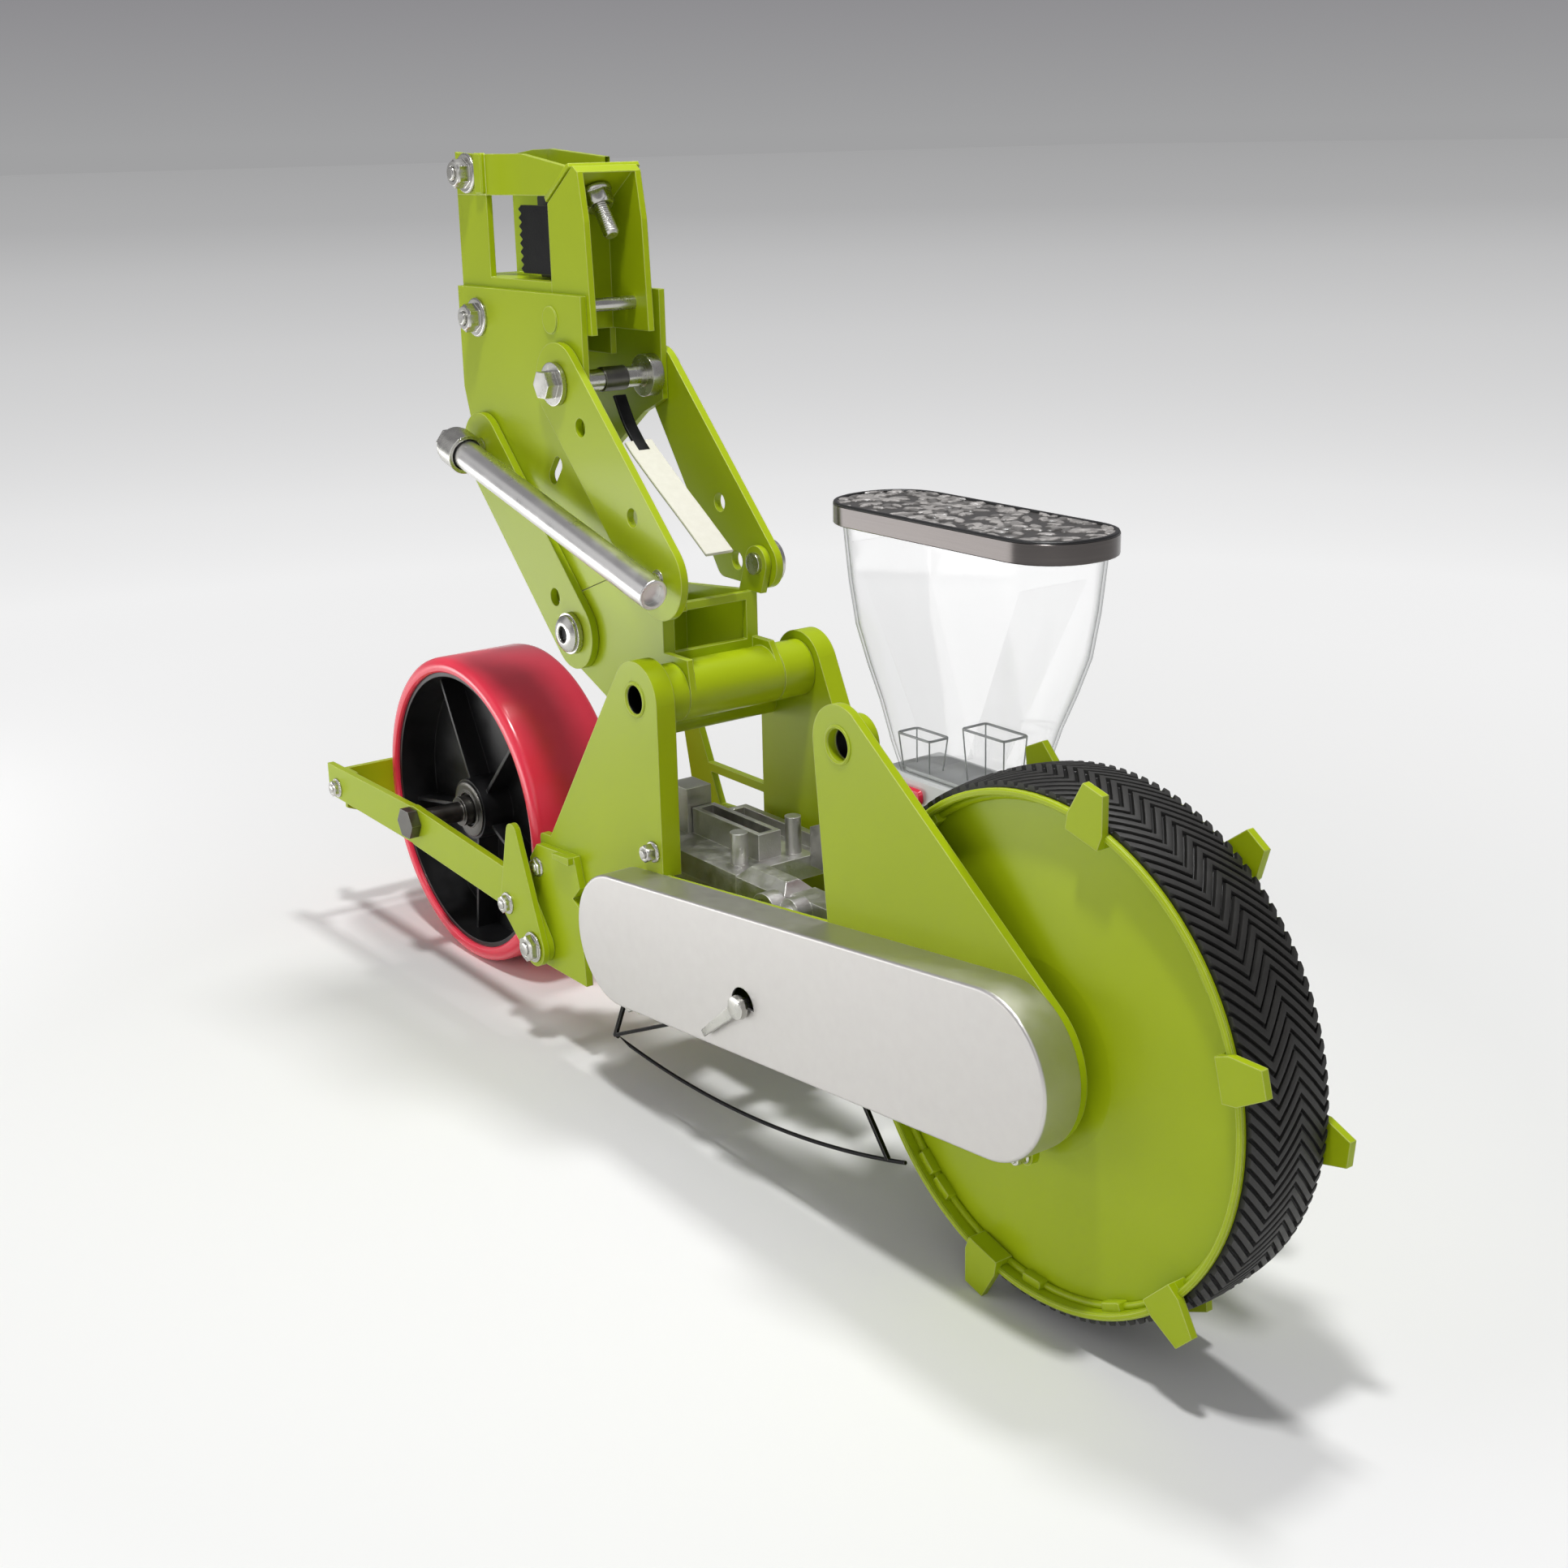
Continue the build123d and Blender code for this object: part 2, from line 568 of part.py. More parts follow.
# Gear end of the meter: bevelled box with its bosses beside the table, posts and a block on the table
gear_front_x = axle_x - 232.0
gear_step_x = axle_x - 274.0
gear_far = table_near + 27.0
gear_low_z = table_low_z - 20.0
gear_high_z = table_high_z + 7.0
gear_bevel = 8.0
with BuildPart() as meter_posts:
    block(table_front_x, gear_step_x, table_near, gear_far, gear_low_z, gear_high_z)
    chamfer(meter_posts.faces().sort_by(Axis.Z)[-1].edges(), gear_bevel)
    block(gear_step_x, gear_front_x, table_near + 6, gear_far, gear_low_z, gear_high_z - 6)
    round_bar(gear_step_x + 14, gear_high_z - 14, 11.0, table_near - 6, table_near + 6)
    round_bar(gear_step_x + 14, gear_high_z - 14, 6.0, table_near - 14, table_near - 6)
    round_bar(table_front_x + 50, gear_low_z + 26, 14.0, table_near - 12, table_near)
    round_bar(table_front_x + 50, gear_low_z + 26, 10.0, table_near - 12, table_near - 9, Mode.SUBTRACT)
    for post_x, post_y, post_r, post_h in ((table_front_x - 19, table_near + 17, 6.5, 24.0),
                                           (table_front_x - 14, trough_far + 12, 6.0, 28.0)):
        with Locations((post_x, post_y, table_high_z + post_h / 2)):
            Cylinder(post_r, post_h)
    block(trough_rear_x - 26, trough_rear_x - 1, trough_near - 4, trough_far - 2, table_high_z, table_high_z + 35)
save(meter_posts.part, "meter_posts")

# Hopper seat with the sliding shutter, and the chute down to the meter tray
seat_rear_x = hopper_x - 62.0
seat_front_x = hopper_x + 62.0
seat_half = 28.0
seat_low_z = 256.0
throat_x = 44.0
throat_y = 17.0
slot_low_z = 266.0
shutter_t = 3.0
shutter_clear = 0.3
shutter_half = 21.0
shutter_front_x = hopper_x + throat_x + 5
with BuildPart() as hopper_seat:
    block(seat_rear_x, seat_front_x, hopper_y - seat_half, hopper_y + seat_half, seat_low_z, hopper_foot_z)
    block(hopper_x - throat_x, hopper_x + throat_x, hopper_y - throat_y, hopper_y + throat_y, seat_low_z,
          hopper_foot_z, Mode.SUBTRACT)
    block(seat_rear_x, shutter_front_x + shutter_clear, hopper_y - shutter_half - shutter_clear,
          hopper_y + shutter_half + shutter_clear, slot_low_z - shutter_clear, slot_low_z + shutter_t + shutter_clear,
          Mode.SUBTRACT)
save(hopper_seat.part, "hopper_seat")

handle_x = seat_rear_x - 14.0
with BuildPart() as seed_shutter:
    block(handle_x, shutter_front_x, hopper_y - shutter_half, hopper_y + shutter_half, slot_low_z, slot_low_z + shutter_t)
    block(handle_x - 6, handle_x, hopper_y - seat_half - 10, hopper_y + shutter_half, slot_low_z - 7,
          slot_low_z + shutter_t + 7)
save(seed_shutter.part, "seed_shutter")

chute_wall = 4.0
chute_mouth_z = table_high_z + 22.0
chute_near = pocket_near - chute_wall
chute_far = table_far - 6.0
with BuildPart() as seed_chute:
    slab([(hopper_x + throat_x + 8, seat_low_z), (hopper_x - throat_x - 8, seat_low_z), (table_front_x, chute_mouth_z),
          (table_front_x, table_high_z - 8), (table_front_x + 20, table_high_z - 8)], chute_near, chute_far)
    slab([(hopper_x + throat_x, seat_low_z), (hopper_x - throat_x, seat_low_z),
          (table_front_x, chute_mouth_z - chute_wall), (table_front_x, table_high_z)],
         chute_near + chute_wall, chute_far - chute_wall, Mode.SUBTRACT)
save(seed_chute.part, "seed_chute")

# Clear hopper and its lid
hopper_levels = [(hopper_foot_z, 101.0, 44.0, 10.0), (hopper_foot_z + 46, 143.0, 54.0, 18.0),
                 (hopper_foot_z + 96, 191.0, 62.0, 23.0), (hopper_rim_z, 213.0, 70.0, 27.0)]
with BuildPart() as hopper:
    for level_z, length, width, corner in hopper_levels:
        with BuildSketch(Plane.XY.offset(level_z)):
            with Locations((hopper_x, hopper_y)):
                RectangleRounded(length, width, corner)
    loft()
    for level_z, length, width, corner in hopper_levels:
        with BuildSketch(Plane.XY.offset(level_z)):
            with Locations((hopper_x, hopper_y)):
                RectangleRounded(length - 2 * hopper_wall, width - 2 * hopper_wall, corner - hopper_wall)
    loft(mode=Mode.SUBTRACT)
save(hopper.part, "hopper")

lid_rest = 0.3
with BuildPart() as hopper_lid:
    with BuildSketch(Plane.XY.offset(hopper_rim_z - lid_drop)):
        with Locations((hopper_x, hopper_y)):
            RectangleRounded(lid_length, lid_width, lid_round)
    extrude(amount=lid_top_z - hopper_rim_z + lid_drop)
    fillet(hopper_lid.edges().group_by(Axis.Z)[-1], 3)
    with BuildSketch(Plane.XY.offset(hopper_rim_z - lid_drop)):
        with Locations((hopper_x, hopper_y)):
            RectangleRounded(lid_length - 2 * lid_wall, lid_width - 2 * lid_wall, lid_round - lid_wall)
    extrude(amount=lid_drop + lid_rest, mode=Mode.SUBTRACT)
save(hopper_lid.part, "hopper_lid")

# Furrow opener with the seed tube inside, and the skid rod along the near side
shoe_half = 13.0
shoe_wall = 4.0
shoe_top_z = meter_base_z
shoe_low_z = shoe_top_z - 48.0
shoe_toe_z = shoe_low_z + 12.0
with BuildPart() as furrow_opener:
    slab([(meter_x - 66, shoe_top_z), (meter_x + 62, shoe_top_z), (meter_x + 58, shoe_toe_z + 18),
          (meter_x + 26, shoe_low_z), (meter_x - 58, shoe_low_z + 2), (meter_x - 72, shoe_toe_z + 8)],
         mid_y - shoe_half, mid_y + shoe_half)
    slab([(meter_x - 80, shoe_top_z), (meter_x + 34, shoe_top_z), (meter_x + 22, shoe_toe_z), (meter_x - 80, shoe_toe_z - 4)],
         mid_y - shoe_half + shoe_wall, mid_y + shoe_half - shoe_wall, Mode.SUBTRACT)
save(furrow_opener.part, "furrow_opener")

tube_len = 36.0
tube_entry = 2.0          # how far the tube reaches up into the outlet
with BuildPart() as seed_tube:
    with Locations((meter_x, mid_y, meter_base_z + tube_entry - tube_len / 2)):
        Cylinder(outlet_r, tube_len)
        Cylinder(outlet_r - 2, tube_len, mode=Mode.SUBTRACT)
save(seed_tube.part, "seed_tube")

rod_r = 1.4
rod_y = near_out + plate_t / 2
rod_rear = (axle_x - 457.0, axle_z - 144.0)
rod_low = (axle_x - 350.0, axle_z - 148.6)
rod_front = (axle_x - 106.0, axle_z - 110.4)
# Legs of the rod: foot on the rod, head in the edge of the side plate
rod_legs = [(rod_rear, (axle_x - 426.0, meter_z - 38.0)), (rod_rear, (axle_x - 318.0, meter_z - 38.0)),
            ((axle_x - 124.0, axle_z - 114.4), (axle_x - 165.0, axle_z - 63.0))]
with BuildPart() as skid_rod:
    with BuildLine() as rod_line:
        ThreePointArc((rod_rear[0], rod_y, rod_rear[1]), (rod_low[0], rod_y, rod_low[1]),
                      (rod_front[0], rod_y, rod_front[1]))
    with BuildSketch(Plane(origin=rod_line.line @ 0, z_dir=rod_line.line % 0)):
        Circle(rod_r)
    sweep(path=rod_line.line)
    for (foot_x, foot_z), (head_x, head_z) in rod_legs:
        hull_plate([(foot_x, foot_z, rod_r), (head_x, head_z, rod_r)], rod_y - rod_r, rod_y + rod_r)
    for outline in strip_outlines:
        hull_plate(outline, near_out, near_in, Mode.SUBTRACT)
save(skid_rod.part, "skid_rod")

# Press wheel, its arms and the scraper
bracket_t = 6.0
arm_near_in = near_out - bracket_t - gap
arm_near_out = arm_near_in - arm_t
arm_far_in = far_out + bracket_t + gap
arm_far_out = arm_far_in + arm_t
press_near = mid_y - press_width / 2
press_far = mid_y + press_width / 2
arm_pin_r = 8.0
press_boss_half = 34.0
bracket_low_z = 68.0
lever_t = 5.0
bracket_bolt = (axle_x - 548.0, 149.0)
lip_depth = 5.0


def arm_bracket(y0, lip_y):
    """Plate bolted to a side plate's tail that carries the pivot of a press wheel arm."""
    y1 = y0 + bracket_t
    slab([(tail_x - 8, bracket_low_z), (tail_x + 70, bracket_low_z), (tail_x + 66, 131), (tail_x + 56, 137),
          (tail_x + 67, 148), (tail_x + 60, tail_high_z), (tail_x + 4, tail_high_z - 4), (tail_x - 8, tail_high_z - 18)],
         y0, y1)
    slab([(tail_x + 36, tail_high_z - 6), (tail_x + 60, tail_high_z - 6), (tail_x + 60, tail_high_z),
          (tail_x + 36, tail_high_z - 2)], lip_y, lip_y + lip_depth)
    round_bar(arm_pivot_x, arm_pivot_z, arm_pin_r, y0, y1, Mode.SUBTRACT)


with BuildPart() as near_arm_bracket:
    arm_bracket(near_out - bracket_t, near_out - bracket_t - lip_depth)
save(near_arm_bracket.part, "near_arm_bracket")

with BuildPart() as far_arm_bracket:
    arm_bracket(far_out, far_out + bracket_t)
save(far_arm_bracket.part, "far_arm_bracket")

with BuildPart() as arm_pivot_bolts:
    for y0, y1, head_0, head_1 in ((arm_near_out - lever_t - gap, near_out, arm_near_out - lever_t - gap - 8,
                                    arm_near_out - lever_t - gap),
                                   (far_out, arm_far_out + gap, arm_far_out + gap, arm_far_out + gap + 8)):
        round_bar(arm_pivot_x, arm_pivot_z, arm_pin_r, y0, y1)
        hexagon(arm_pivot_x, arm_pivot_z, 19.0, head_0, head_1)
    hexagon(bracket_bolt[0], bracket_bolt[1], 13.0, near_out - bracket_t - 4.5, near_out - bracket_t)
    hexagon(bracket_bolt[0], bracket_bolt[1], 13.0, far_out + bracket_t, far_out + bracket_t + 4.5)
save(arm_pivot_bolts.part, "arm_pivot_bolts")

arm_half = 17.0           # half the depth of the arm's bar
arm_bend = (axle_x - 572.0, 119.0)
arm_rear_x = axle_x - tail_reach
arm_axle_z = press_r - 4.0  # middle of the bar at the axle
arm_rear_z = press_r - 1.5


def press_arm(y0):
    """One press wheel arm: bar with a square rear end, pivot lobe, pivot hole and axle hole."""
    y1 = y0 + arm_t
    hull_plate([(arm_bend[0], arm_bend[1], arm_half), (press_x, arm_axle_z, arm_half + 1)], y0, y1)
    hull_plate([(arm_bend[0], arm_bend[1], arm_half), (arm_pivot_x, arm_pivot_z, arm_half - 3)], y0, y1)
    slab([(arm_rear_x, arm_rear_z - arm_half + 2), (press_x, arm_axle_z - arm_half), (press_x, arm_axle_z + arm_half),
          (arm_rear_x, arm_rear_z + arm_half - 2)], y0, y1)
    round_bar(arm_pivot_x, arm_pivot_z, arm_pin_r + run, y0, y1, Mode.SUBTRACT)
    round_bar(press_x, press_r, press_axle_r, y0, y1, Mode.SUBTRACT)


with BuildPart() as near_press_arm:
    press_arm(arm_near_out)
save(near_press_arm.part, "near_press_arm")

with BuildPart() as far_press_arm:
    press_arm(arm_far_in)
save(far_press_arm.part, "far_press_arm")

lever_tip = (axle_x - 568.0, 174.0)
lever_bolt = (axle_x - 580.0, 112.0)
with BuildPart() as arm_lever:
    hull_plate([(lever_tip[0], lever_tip[1], 8.0), (lever_bolt[0], lever_bolt[1], 12.0),
                (arm_pivot_x, arm_pivot_z, arm_half - 1)], arm_near_out - lever_t, arm_near_out)
    round_bar(arm_pivot_x, arm_pivot_z, arm_pin_r + run, arm_near_out - lever_t, arm_near_out, Mode.SUBTRACT)
save(arm_lever.part, "arm_lever")

axle_head_h = 9.0
with BuildPart() as press_axle:
    round_bar(press_x, press_r, press_axle_r, arm_near_out, arm_far_out)
    hexagon(press_x, press_r, 24.0, arm_near_out - axle_head_h, arm_near_out)
    hexagon(press_x, press_r, 24.0, arm_far_out, arm_far_out + axle_head_h)
    for y0 in (mid_y - press_boss_half - gap - 10, mid_y + press_boss_half + gap):
        round_bar(press_x, press_r, press_axle_r + 4, y0, y0 + 10)
save(press_axle.part, "press_axle")

scraper_high_z = arm_rear_z + arm_half - 3.5
scraper_low_z = scraper_high_z - 38
with BuildPart() as scraper_blade:
    with BuildSketch(Plane(origin=(scraper_x, 0, 0), x_dir=(0, 1, 0), z_dir=(1, 0, 0))):
        with BuildLine():
            Polyline((arm_near_in, scraper_high_z), (arm_far_in, scraper_high_z), (arm_far_in, scraper_low_z),
                     (press_far + 4, scraper_low_z - 14), (press_far - 8, scraper_low_z),
                     (press_near + 8, scraper_low_z), (press_near - 4, scraper_low_z - 14),
                     (arm_near_in, scraper_low_z), close=True)
        make_face()
    extrude(amount=scraper_t)
    for y0 in (arm_near_in, arm_far_in - scraper_t):
        block(scraper_x, scraper_x + 24, y0, y0 + scraper_t, scraper_low_z + 4, scraper_high_z)
save(scraper_blade.part, "scraper_blade")

arm_bolt = (arm_rear_x + 18, arm_rear_z - 5)
with BuildPart() as press_arm_bolts:
    hexagon(arm_bolt[0], arm_bolt[1], 13.0, arm_near_out - bolt_head_h, arm_near_out)
    hexagon(arm_bolt[0], arm_bolt[1], 13.0, arm_far_out, arm_far_out + bolt_head_h)
    hexagon(lever_bolt[0], lever_bolt[1], 13.0, arm_near_out - lever_t - bolt_head_h, arm_near_out - lever_t)
save(press_arm_bolts.part, "press_arm_bolts")

press_axis = Axis((press_x, 0, press_r), (0, 1, 0))
press_plane = Plane(origin=(press_x, 0, press_r), x_dir=(1, 0, 0), z_dir=(0, 0, 1))
press_rim_r = press_r - press_tread_t
press_rim_wall = 4.0
press_rim_set = 4.0       # the hub ends this far inside the tread
press_boss_r = 27.0
press_web_t = 6.0
press_web_half = 14.0
rib_count = 5
rib_half = 1.6
rib_turn = 46.0
with BuildPart() as press_hub:
    with BuildSketch(press_plane):
        with BuildLine():
            Polyline((press_rim_r - press_rim_wall, press_near + press_rim_set), (press_rim_r, press_near + press_rim_set),
                     (press_rim_r, press_far - press_rim_set), (press_rim_r - press_rim_wall, press_far - press_rim_set),
                     (press_rim_r - press_rim_wall, mid_y + press_web_t),
                     (press_boss_r, mid_y + press_web_t), (press_boss_r, mid_y + press_boss_half),
                     (press_axle_r + run, mid_y + press_boss_half), (press_axle_r + run, mid_y - press_boss_half),
                     (press_boss_r, mid_y - press_boss_half), (press_boss_r, mid_y - press_web_t),
                     (press_rim_r - press_rim_wall, mid_y - press_web_t), close=True)
        make_face()
    revolve(axis=press_axis)
    with BuildSketch(Plane(origin=(press_x, mid_y + press_boss_half - 8, press_r), x_dir=(1, 0, 0), z_dir=(0, -1, 0))):
        with PolarLocations(0, rib_count, start_angle=rib_turn):
            Polygon((press_boss_r - 2, -rib_half), (press_rim_r - press_rim_wall + 2, -rib_half),
                    (press_rim_r - press_rim_wall + 2, rib_half), (press_boss_r - 2, rib_half), align=None)
    extrude(amount=2 * press_boss_half - 16)
save(press_hub.part, "press_hub")

tread_round = 6.0
with BuildPart() as press_tread:
    with BuildSketch(press_plane):
        with Locations(((press_rim_r + press_r) / 2, mid_y)):
            Rectangle(press_tread_t, press_width)
    revolve(axis=press_axis)
    fillet(press_tread.edges().filter_by(GeomType.CIRCLE).sort_by(SortBy.RADIUS)[-2:], tread_round)
save(press_tread.part, "press_tread")

# Linkage tower: base that tilts on the pivot tube, four links, head bracket
base_eye_r = 28.0         # eye of the base around pin B
lug_eye_r = 16.0          # near and far eyes around pin A
far_eye_r = 13.0
sleeve_r = tube_r + 4.5
base_front_x = axle_x - 415.0
base_top_z = 375.0
base_corner = 6.0
base_heel = (axle_x - 492.0, 300.0, 10.0)
with BuildPart() as tower_base:
    hull_plate([(a2_x, a2_z, lug_eye_r), (b2_x, b2_z, base_eye_r), (pivot_x, pivot_z, sleeve_r), base_heel],
               tower_near, tower_near + tower_t)
    hull_plate([(b2_x, b2_z, base_eye_r), (base_front_x - base_corner, base_top_z - base_corner, base_corner),
                (pivot_x, pivot_z, sleeve_r), base_heel], tower_far - tower_t, tower_far)
    hull_plate([(a2_x, a2_z, far_eye_r), (a2_x - 12, base_top_z - far_eye_r, far_eye_r)], tower_far - tower_t, tower_far)
    block(base_front_x, base_front_x + 60, tower_near, tower_far, pivot_z + sleeve_r + 5, base_top_z, Mode.SUBTRACT)
    block(base_front_x - tower_t, base_front_x, tower_near + tower_t, tower_far - tower_t, pivot_z + 10, base_top_z)
    block(base_front_x - tower_t, base_front_x, mid_y - 32, mid_y + 32, pivot_z + sleeve_r + 4, base_top_z - base_corner,
          Mode.SUBTRACT)
    round_bar(pivot_x, pivot_z, sleeve_r, tower_near, tower_far)
    block(b2_x + 24, b2_x + 29, tower_near + tower_t, tower_far - tower_t, b2_z - 30, b2_z + 22)
    for pin_x, pin_z in ((a2_x, a2_z), (b2_x, b2_z)):
        round_bar(pin_x, pin_z, pin_r, tower_near, tower_far, Mode.SUBTRACT)
    round_bar(pivot_x, pivot_z, tube_r, near_in, far_in, Mode.SUBTRACT)
save(tower_base.part, "tower_base")

with BuildPart() as pivot_tube:
    round_bar(pivot_x, pivot_z, tube_r, near_in + gap, far_in - gap)
    round_bar(pivot_x, pivot_z, journal_r, near_out, far_out + 16)
    round_bar(pivot_x, pivot_z, tube_bore_r, near_out, far_out + 16, Mode.SUBTRACT)
save(pivot_tube.part, "pivot_tube")

with BuildPart() as pivot_collars:
    round_bar(pivot_x, pivot_z, sleeve_r, near_in + gap, tower_near - gap)
    round_bar(pivot_x, pivot_z, sleeve_r, tower_far + gap, far_in - gap)
    round_bar(pivot_x, pivot_z, tube_r, near_in, far_in, Mode.SUBTRACT)
    round_bar(pivot_x, pivot_z, journal_r + 8, far_out + gap, far_out + 13)
    round_bar(pivot_x, pivot_z, journal_r, far_out + gap, far_out + 13, Mode.SUBTRACT)
save(pivot_collars.part, "pivot_collars")

pin_head_r = 16.0
pin_head_t = 4.0
stub_r = 5.0              # pin ends that carry the brace
stub_end = 3.0            # how far the two short pins at A end past their eyes
strut_off = 17.5          # brace axis outside the near links
strut_y = link_near - link_t - strut_off
strut_r = 11.5
collar_bore = strut_r + 1.4
collar_r = collar_bore + 3
collar_half = 9.0
with BuildPart() as base_pins:
    round_bar(b2_x, b2_z, pin_r, tower_near, tower_far)
    round_bar(a2_x, a2_z, pin_r, tower_near, tower_near + tower_t + stub_end)
    round_bar(a2_x, a2_z, pin_r, tower_far - tower_t - stub_end, tower_far)
    for pin_x, pin_z in ((a2_x, a2_z), (b2_x, b2_z)):
        round_bar(pin_x, pin_z, pin_r - 1, link_near - link_t - gap, tower_near)
        round_bar(pin_x, pin_z, pin_r - 1, tower_far, link_far + link_t + gap)
        round_bar(pin_x, pin_z, pin_head_r, link_far + link_t + gap, link_far + link_t + gap + pin_head_t)
    round_bar(b2_x, b2_z, pin_head_r, link_near - link_t - gap - pin_head_t, link_near - link_t - gap)
    round_bar(a2_x, a2_z, stub_r, strut_y, link_near - link_t - gap)
save(base_pins.part, "base_pins")


index_hole_r = 7.0


def link_plate(base_x, base_z, outline, holes, y0):
    """One link plate with its two pin holes and a list of index holes (x, z)."""
    y1 = y0 + link_t
    hull_plate(outline, y0, y1)
    round_bar(base_x, base_z, pin_r - 1 + run, y0, y1, Mode.SUBTRACT)
    round_bar(base_x - link_run, base_z + link_rise, pin_r - 1 + run, y0, y1, Mode.SUBTRACT)
    for hole_x, hole_z in holes:
        round_bar(hole_x, hole_z, index_hole_r, y0, y1, Mode.SUBTRACT)


upper_outline = [(a2_x, a2_z, link_half), (a1_x, a1_z, link_half)]
upper_holes = [(a2_x - 31, a2_z + 40), (a2_x - 97, a2_z + 98)]
# The far upper plate is slimmer in front of the pins and has a wide foot behind them
wide_outline = [(a1_x, a1_z, 21.0), (a2_x + 1, a2_z - 1, 18.0), (a2_x - 48, a2_z - 8, 10.0)]
wide_holes = [(a2_x - 52, a2_z + 38), (a2_x - 31, a2_z - 3)]
with BuildPart() as upper_links:
    link_plate(a2_x, a2_z, upper_outline, upper_holes, link_near - link_t)
    link_plate(a2_x, a2_z, wide_outline, wide_holes, link_far)
save(upper_links.part, "upper_links")

lower_outline = [(b2_x, b2_z, link_half - 2), (b1_x, b1_z, link_half - 2)]
lower_holes = [(b2_x - 24, b2_z + 24)]
with BuildPart() as lower_links:
    for y0 in (link_near - link_t, link_far):
        link_plate(b2_x, b2_z, lower_outline, lower_holes, y0)
save(lower_links.part, "lower_links")

# Head bracket plates: their lower edge rests just above the tower base
edge_len = math.hypot(pin_back, pin_drop)
edge_x = pin_back / edge_len
edge_z = pin_drop / edge_len
base_lean = (base_eye_r - lug_eye_r) / edge_len
rest_gap = 0.6


def above_base(along):
    """Point on the line just above the near plate of the base, measured from pin B towards pin A."""
    off = (base_eye_r + rest_gap - along * base_lean) / math.sqrt(1 - base_lean ** 2)
    return (b2_x - off * edge_z + along * edge_x, b2_z + off * edge_x + along * edge_z)


bracket_high_z = 588.0
with BuildPart() as head_bracket:
    near_edge = [(head_front_x - 2, bracket_high_z), (head_front_x - 2, a1_z - 8), above_base(96), above_base(-24)]
    far_edge = [(a1_x + 12, bracket_high_z), (a1_x + 12, a1_z - 18), (a1_x - 16, a1_z - 30), (b1_x + 24, b1_z - 28)]
    for y0, front_edge in ((tower_near, near_edge), (tower_far - tower_t, far_edge)):
        slab([(head_rear_x, bracket_high_z)] + front_edge +
             [(b1_x - 20, b1_z - 26), (b1_x - 24, b1_z + 14), (head_rear_x, b1_z + 46)], y0, y0 + tower_t)
        for pin_x, pin_z in ((a1_x, a1_z), (b1_x, b1_z)):
            round_bar(pin_x, pin_z, pin_r, y0, y0 + tower_t, Mode.SUBTRACT)
        hull_plate([(axle_x - 560, 452, 6.0), (axle_x - 552, 462, 6.0)], y0, y0 + tower_t, Mode.SUBTRACT)
    block(head_rear_x, head_rear_x + 5, tower_near + tower_t, tower_far - tower_t, b1_z + 46, head_low_z)
    round_bar(axle_x - 552, 569, 10.0, tower_near - 1.2, tower_near)
save(head_bracket.part, "head_bracket")

with BuildPart() as head_pins:
    for pin_x, pin_z in ((a1_x, a1_z), (b1_x, b1_z)):
        round_bar(pin_x, pin_z, pin_r, tower_near, tower_far)
        round_bar(pin_x, pin_z, pin_r - 1, link_near - link_t - gap, tower_near)
        round_bar(pin_x, pin_z, pin_r - 1, tower_far, link_far + link_t + gap)
        round_bar(pin_x, pin_z, pin_head_r, link_far + link_t + gap, link_far + link_t + gap + pin_head_t)
    round_bar(a1_x, a1_z, pin_head_r, link_near - link_t - gap - pin_head_t, link_near - link_t - gap)
    hexagon(a1_x, a1_z, 19.0, link_near - link_t - gap - pin_head_t - 9, link_near - link_t - gap - pin_head_t)
    round_bar(a1_x, a1_z, pin_head_r, tower_far - tower_t - 10, tower_far - tower_t)
    round_bar(b1_x, b1_z, stub_r, strut_y + collar_bore + 1, link_near - link_t - gap)
save(head_pins.part, "head_pins")

# Brace from pin A on the base to pin B on the head: a tube that slides through a swivel collar
strut_dx = b1_x - a2_x
strut_dz = b1_z - a2_z
strut_len = math.hypot(strut_dx, strut_dz)
strut_dir = Vector(strut_dx / strut_len, 0, strut_dz / strut_len)
strut_foot = Vector(a2_x, strut_y, a2_z)
strut_head = Vector(b1_x, strut_y, b1_z)
strut_over = 22.0
strut_wall = 3.0
strut_socket = 5.0       # hollow of the open lower end
strut_stop = collar_half + 0.5
with BuildPart() as strut_tube:
    with BuildSketch(Plane(origin=strut_foot - strut_dir * strut_over, x_dir=(0, 1, 0), z_dir=strut_dir)):
        Circle(strut_r)
    extrude(amount=strut_len + strut_over + strut_stop)
    fillet(strut_tube.edges().sort_by(Axis.X)[-1], strut_wall / 3)
    with BuildSketch(Plane(origin=strut_foot - strut_dir * strut_over, x_dir=(0, 1, 0), z_dir=strut_dir)):
        Circle(strut_r - strut_wall)
    extrude(amount=strut_socket, mode=Mode.SUBTRACT)
    round_bar(a2_x, a2_z, stub_r + run, strut_y - gap, strut_y + strut_r + 1, Mode.SUBTRACT)
save(strut_tube.part, "strut_tube")

with BuildPart() as strut_stop_nut:
    with BuildSketch(Plane(origin=strut_head + strut_dir * strut_stop, x_dir=(0, 1, 0), z_dir=strut_dir)):
        Circle(collar_r - 1)
    extrude(amount=4)
    with BuildSketch(Plane(origin=strut_head + strut_dir * (strut_stop + 4), x_dir=(0, 1, 0), z_dir=strut_dir)):
        RegularPolygon(9.5, 6, major_radius=False)
    extrude(amount=9)
save(strut_stop_nut.part, "strut_stop_nut")

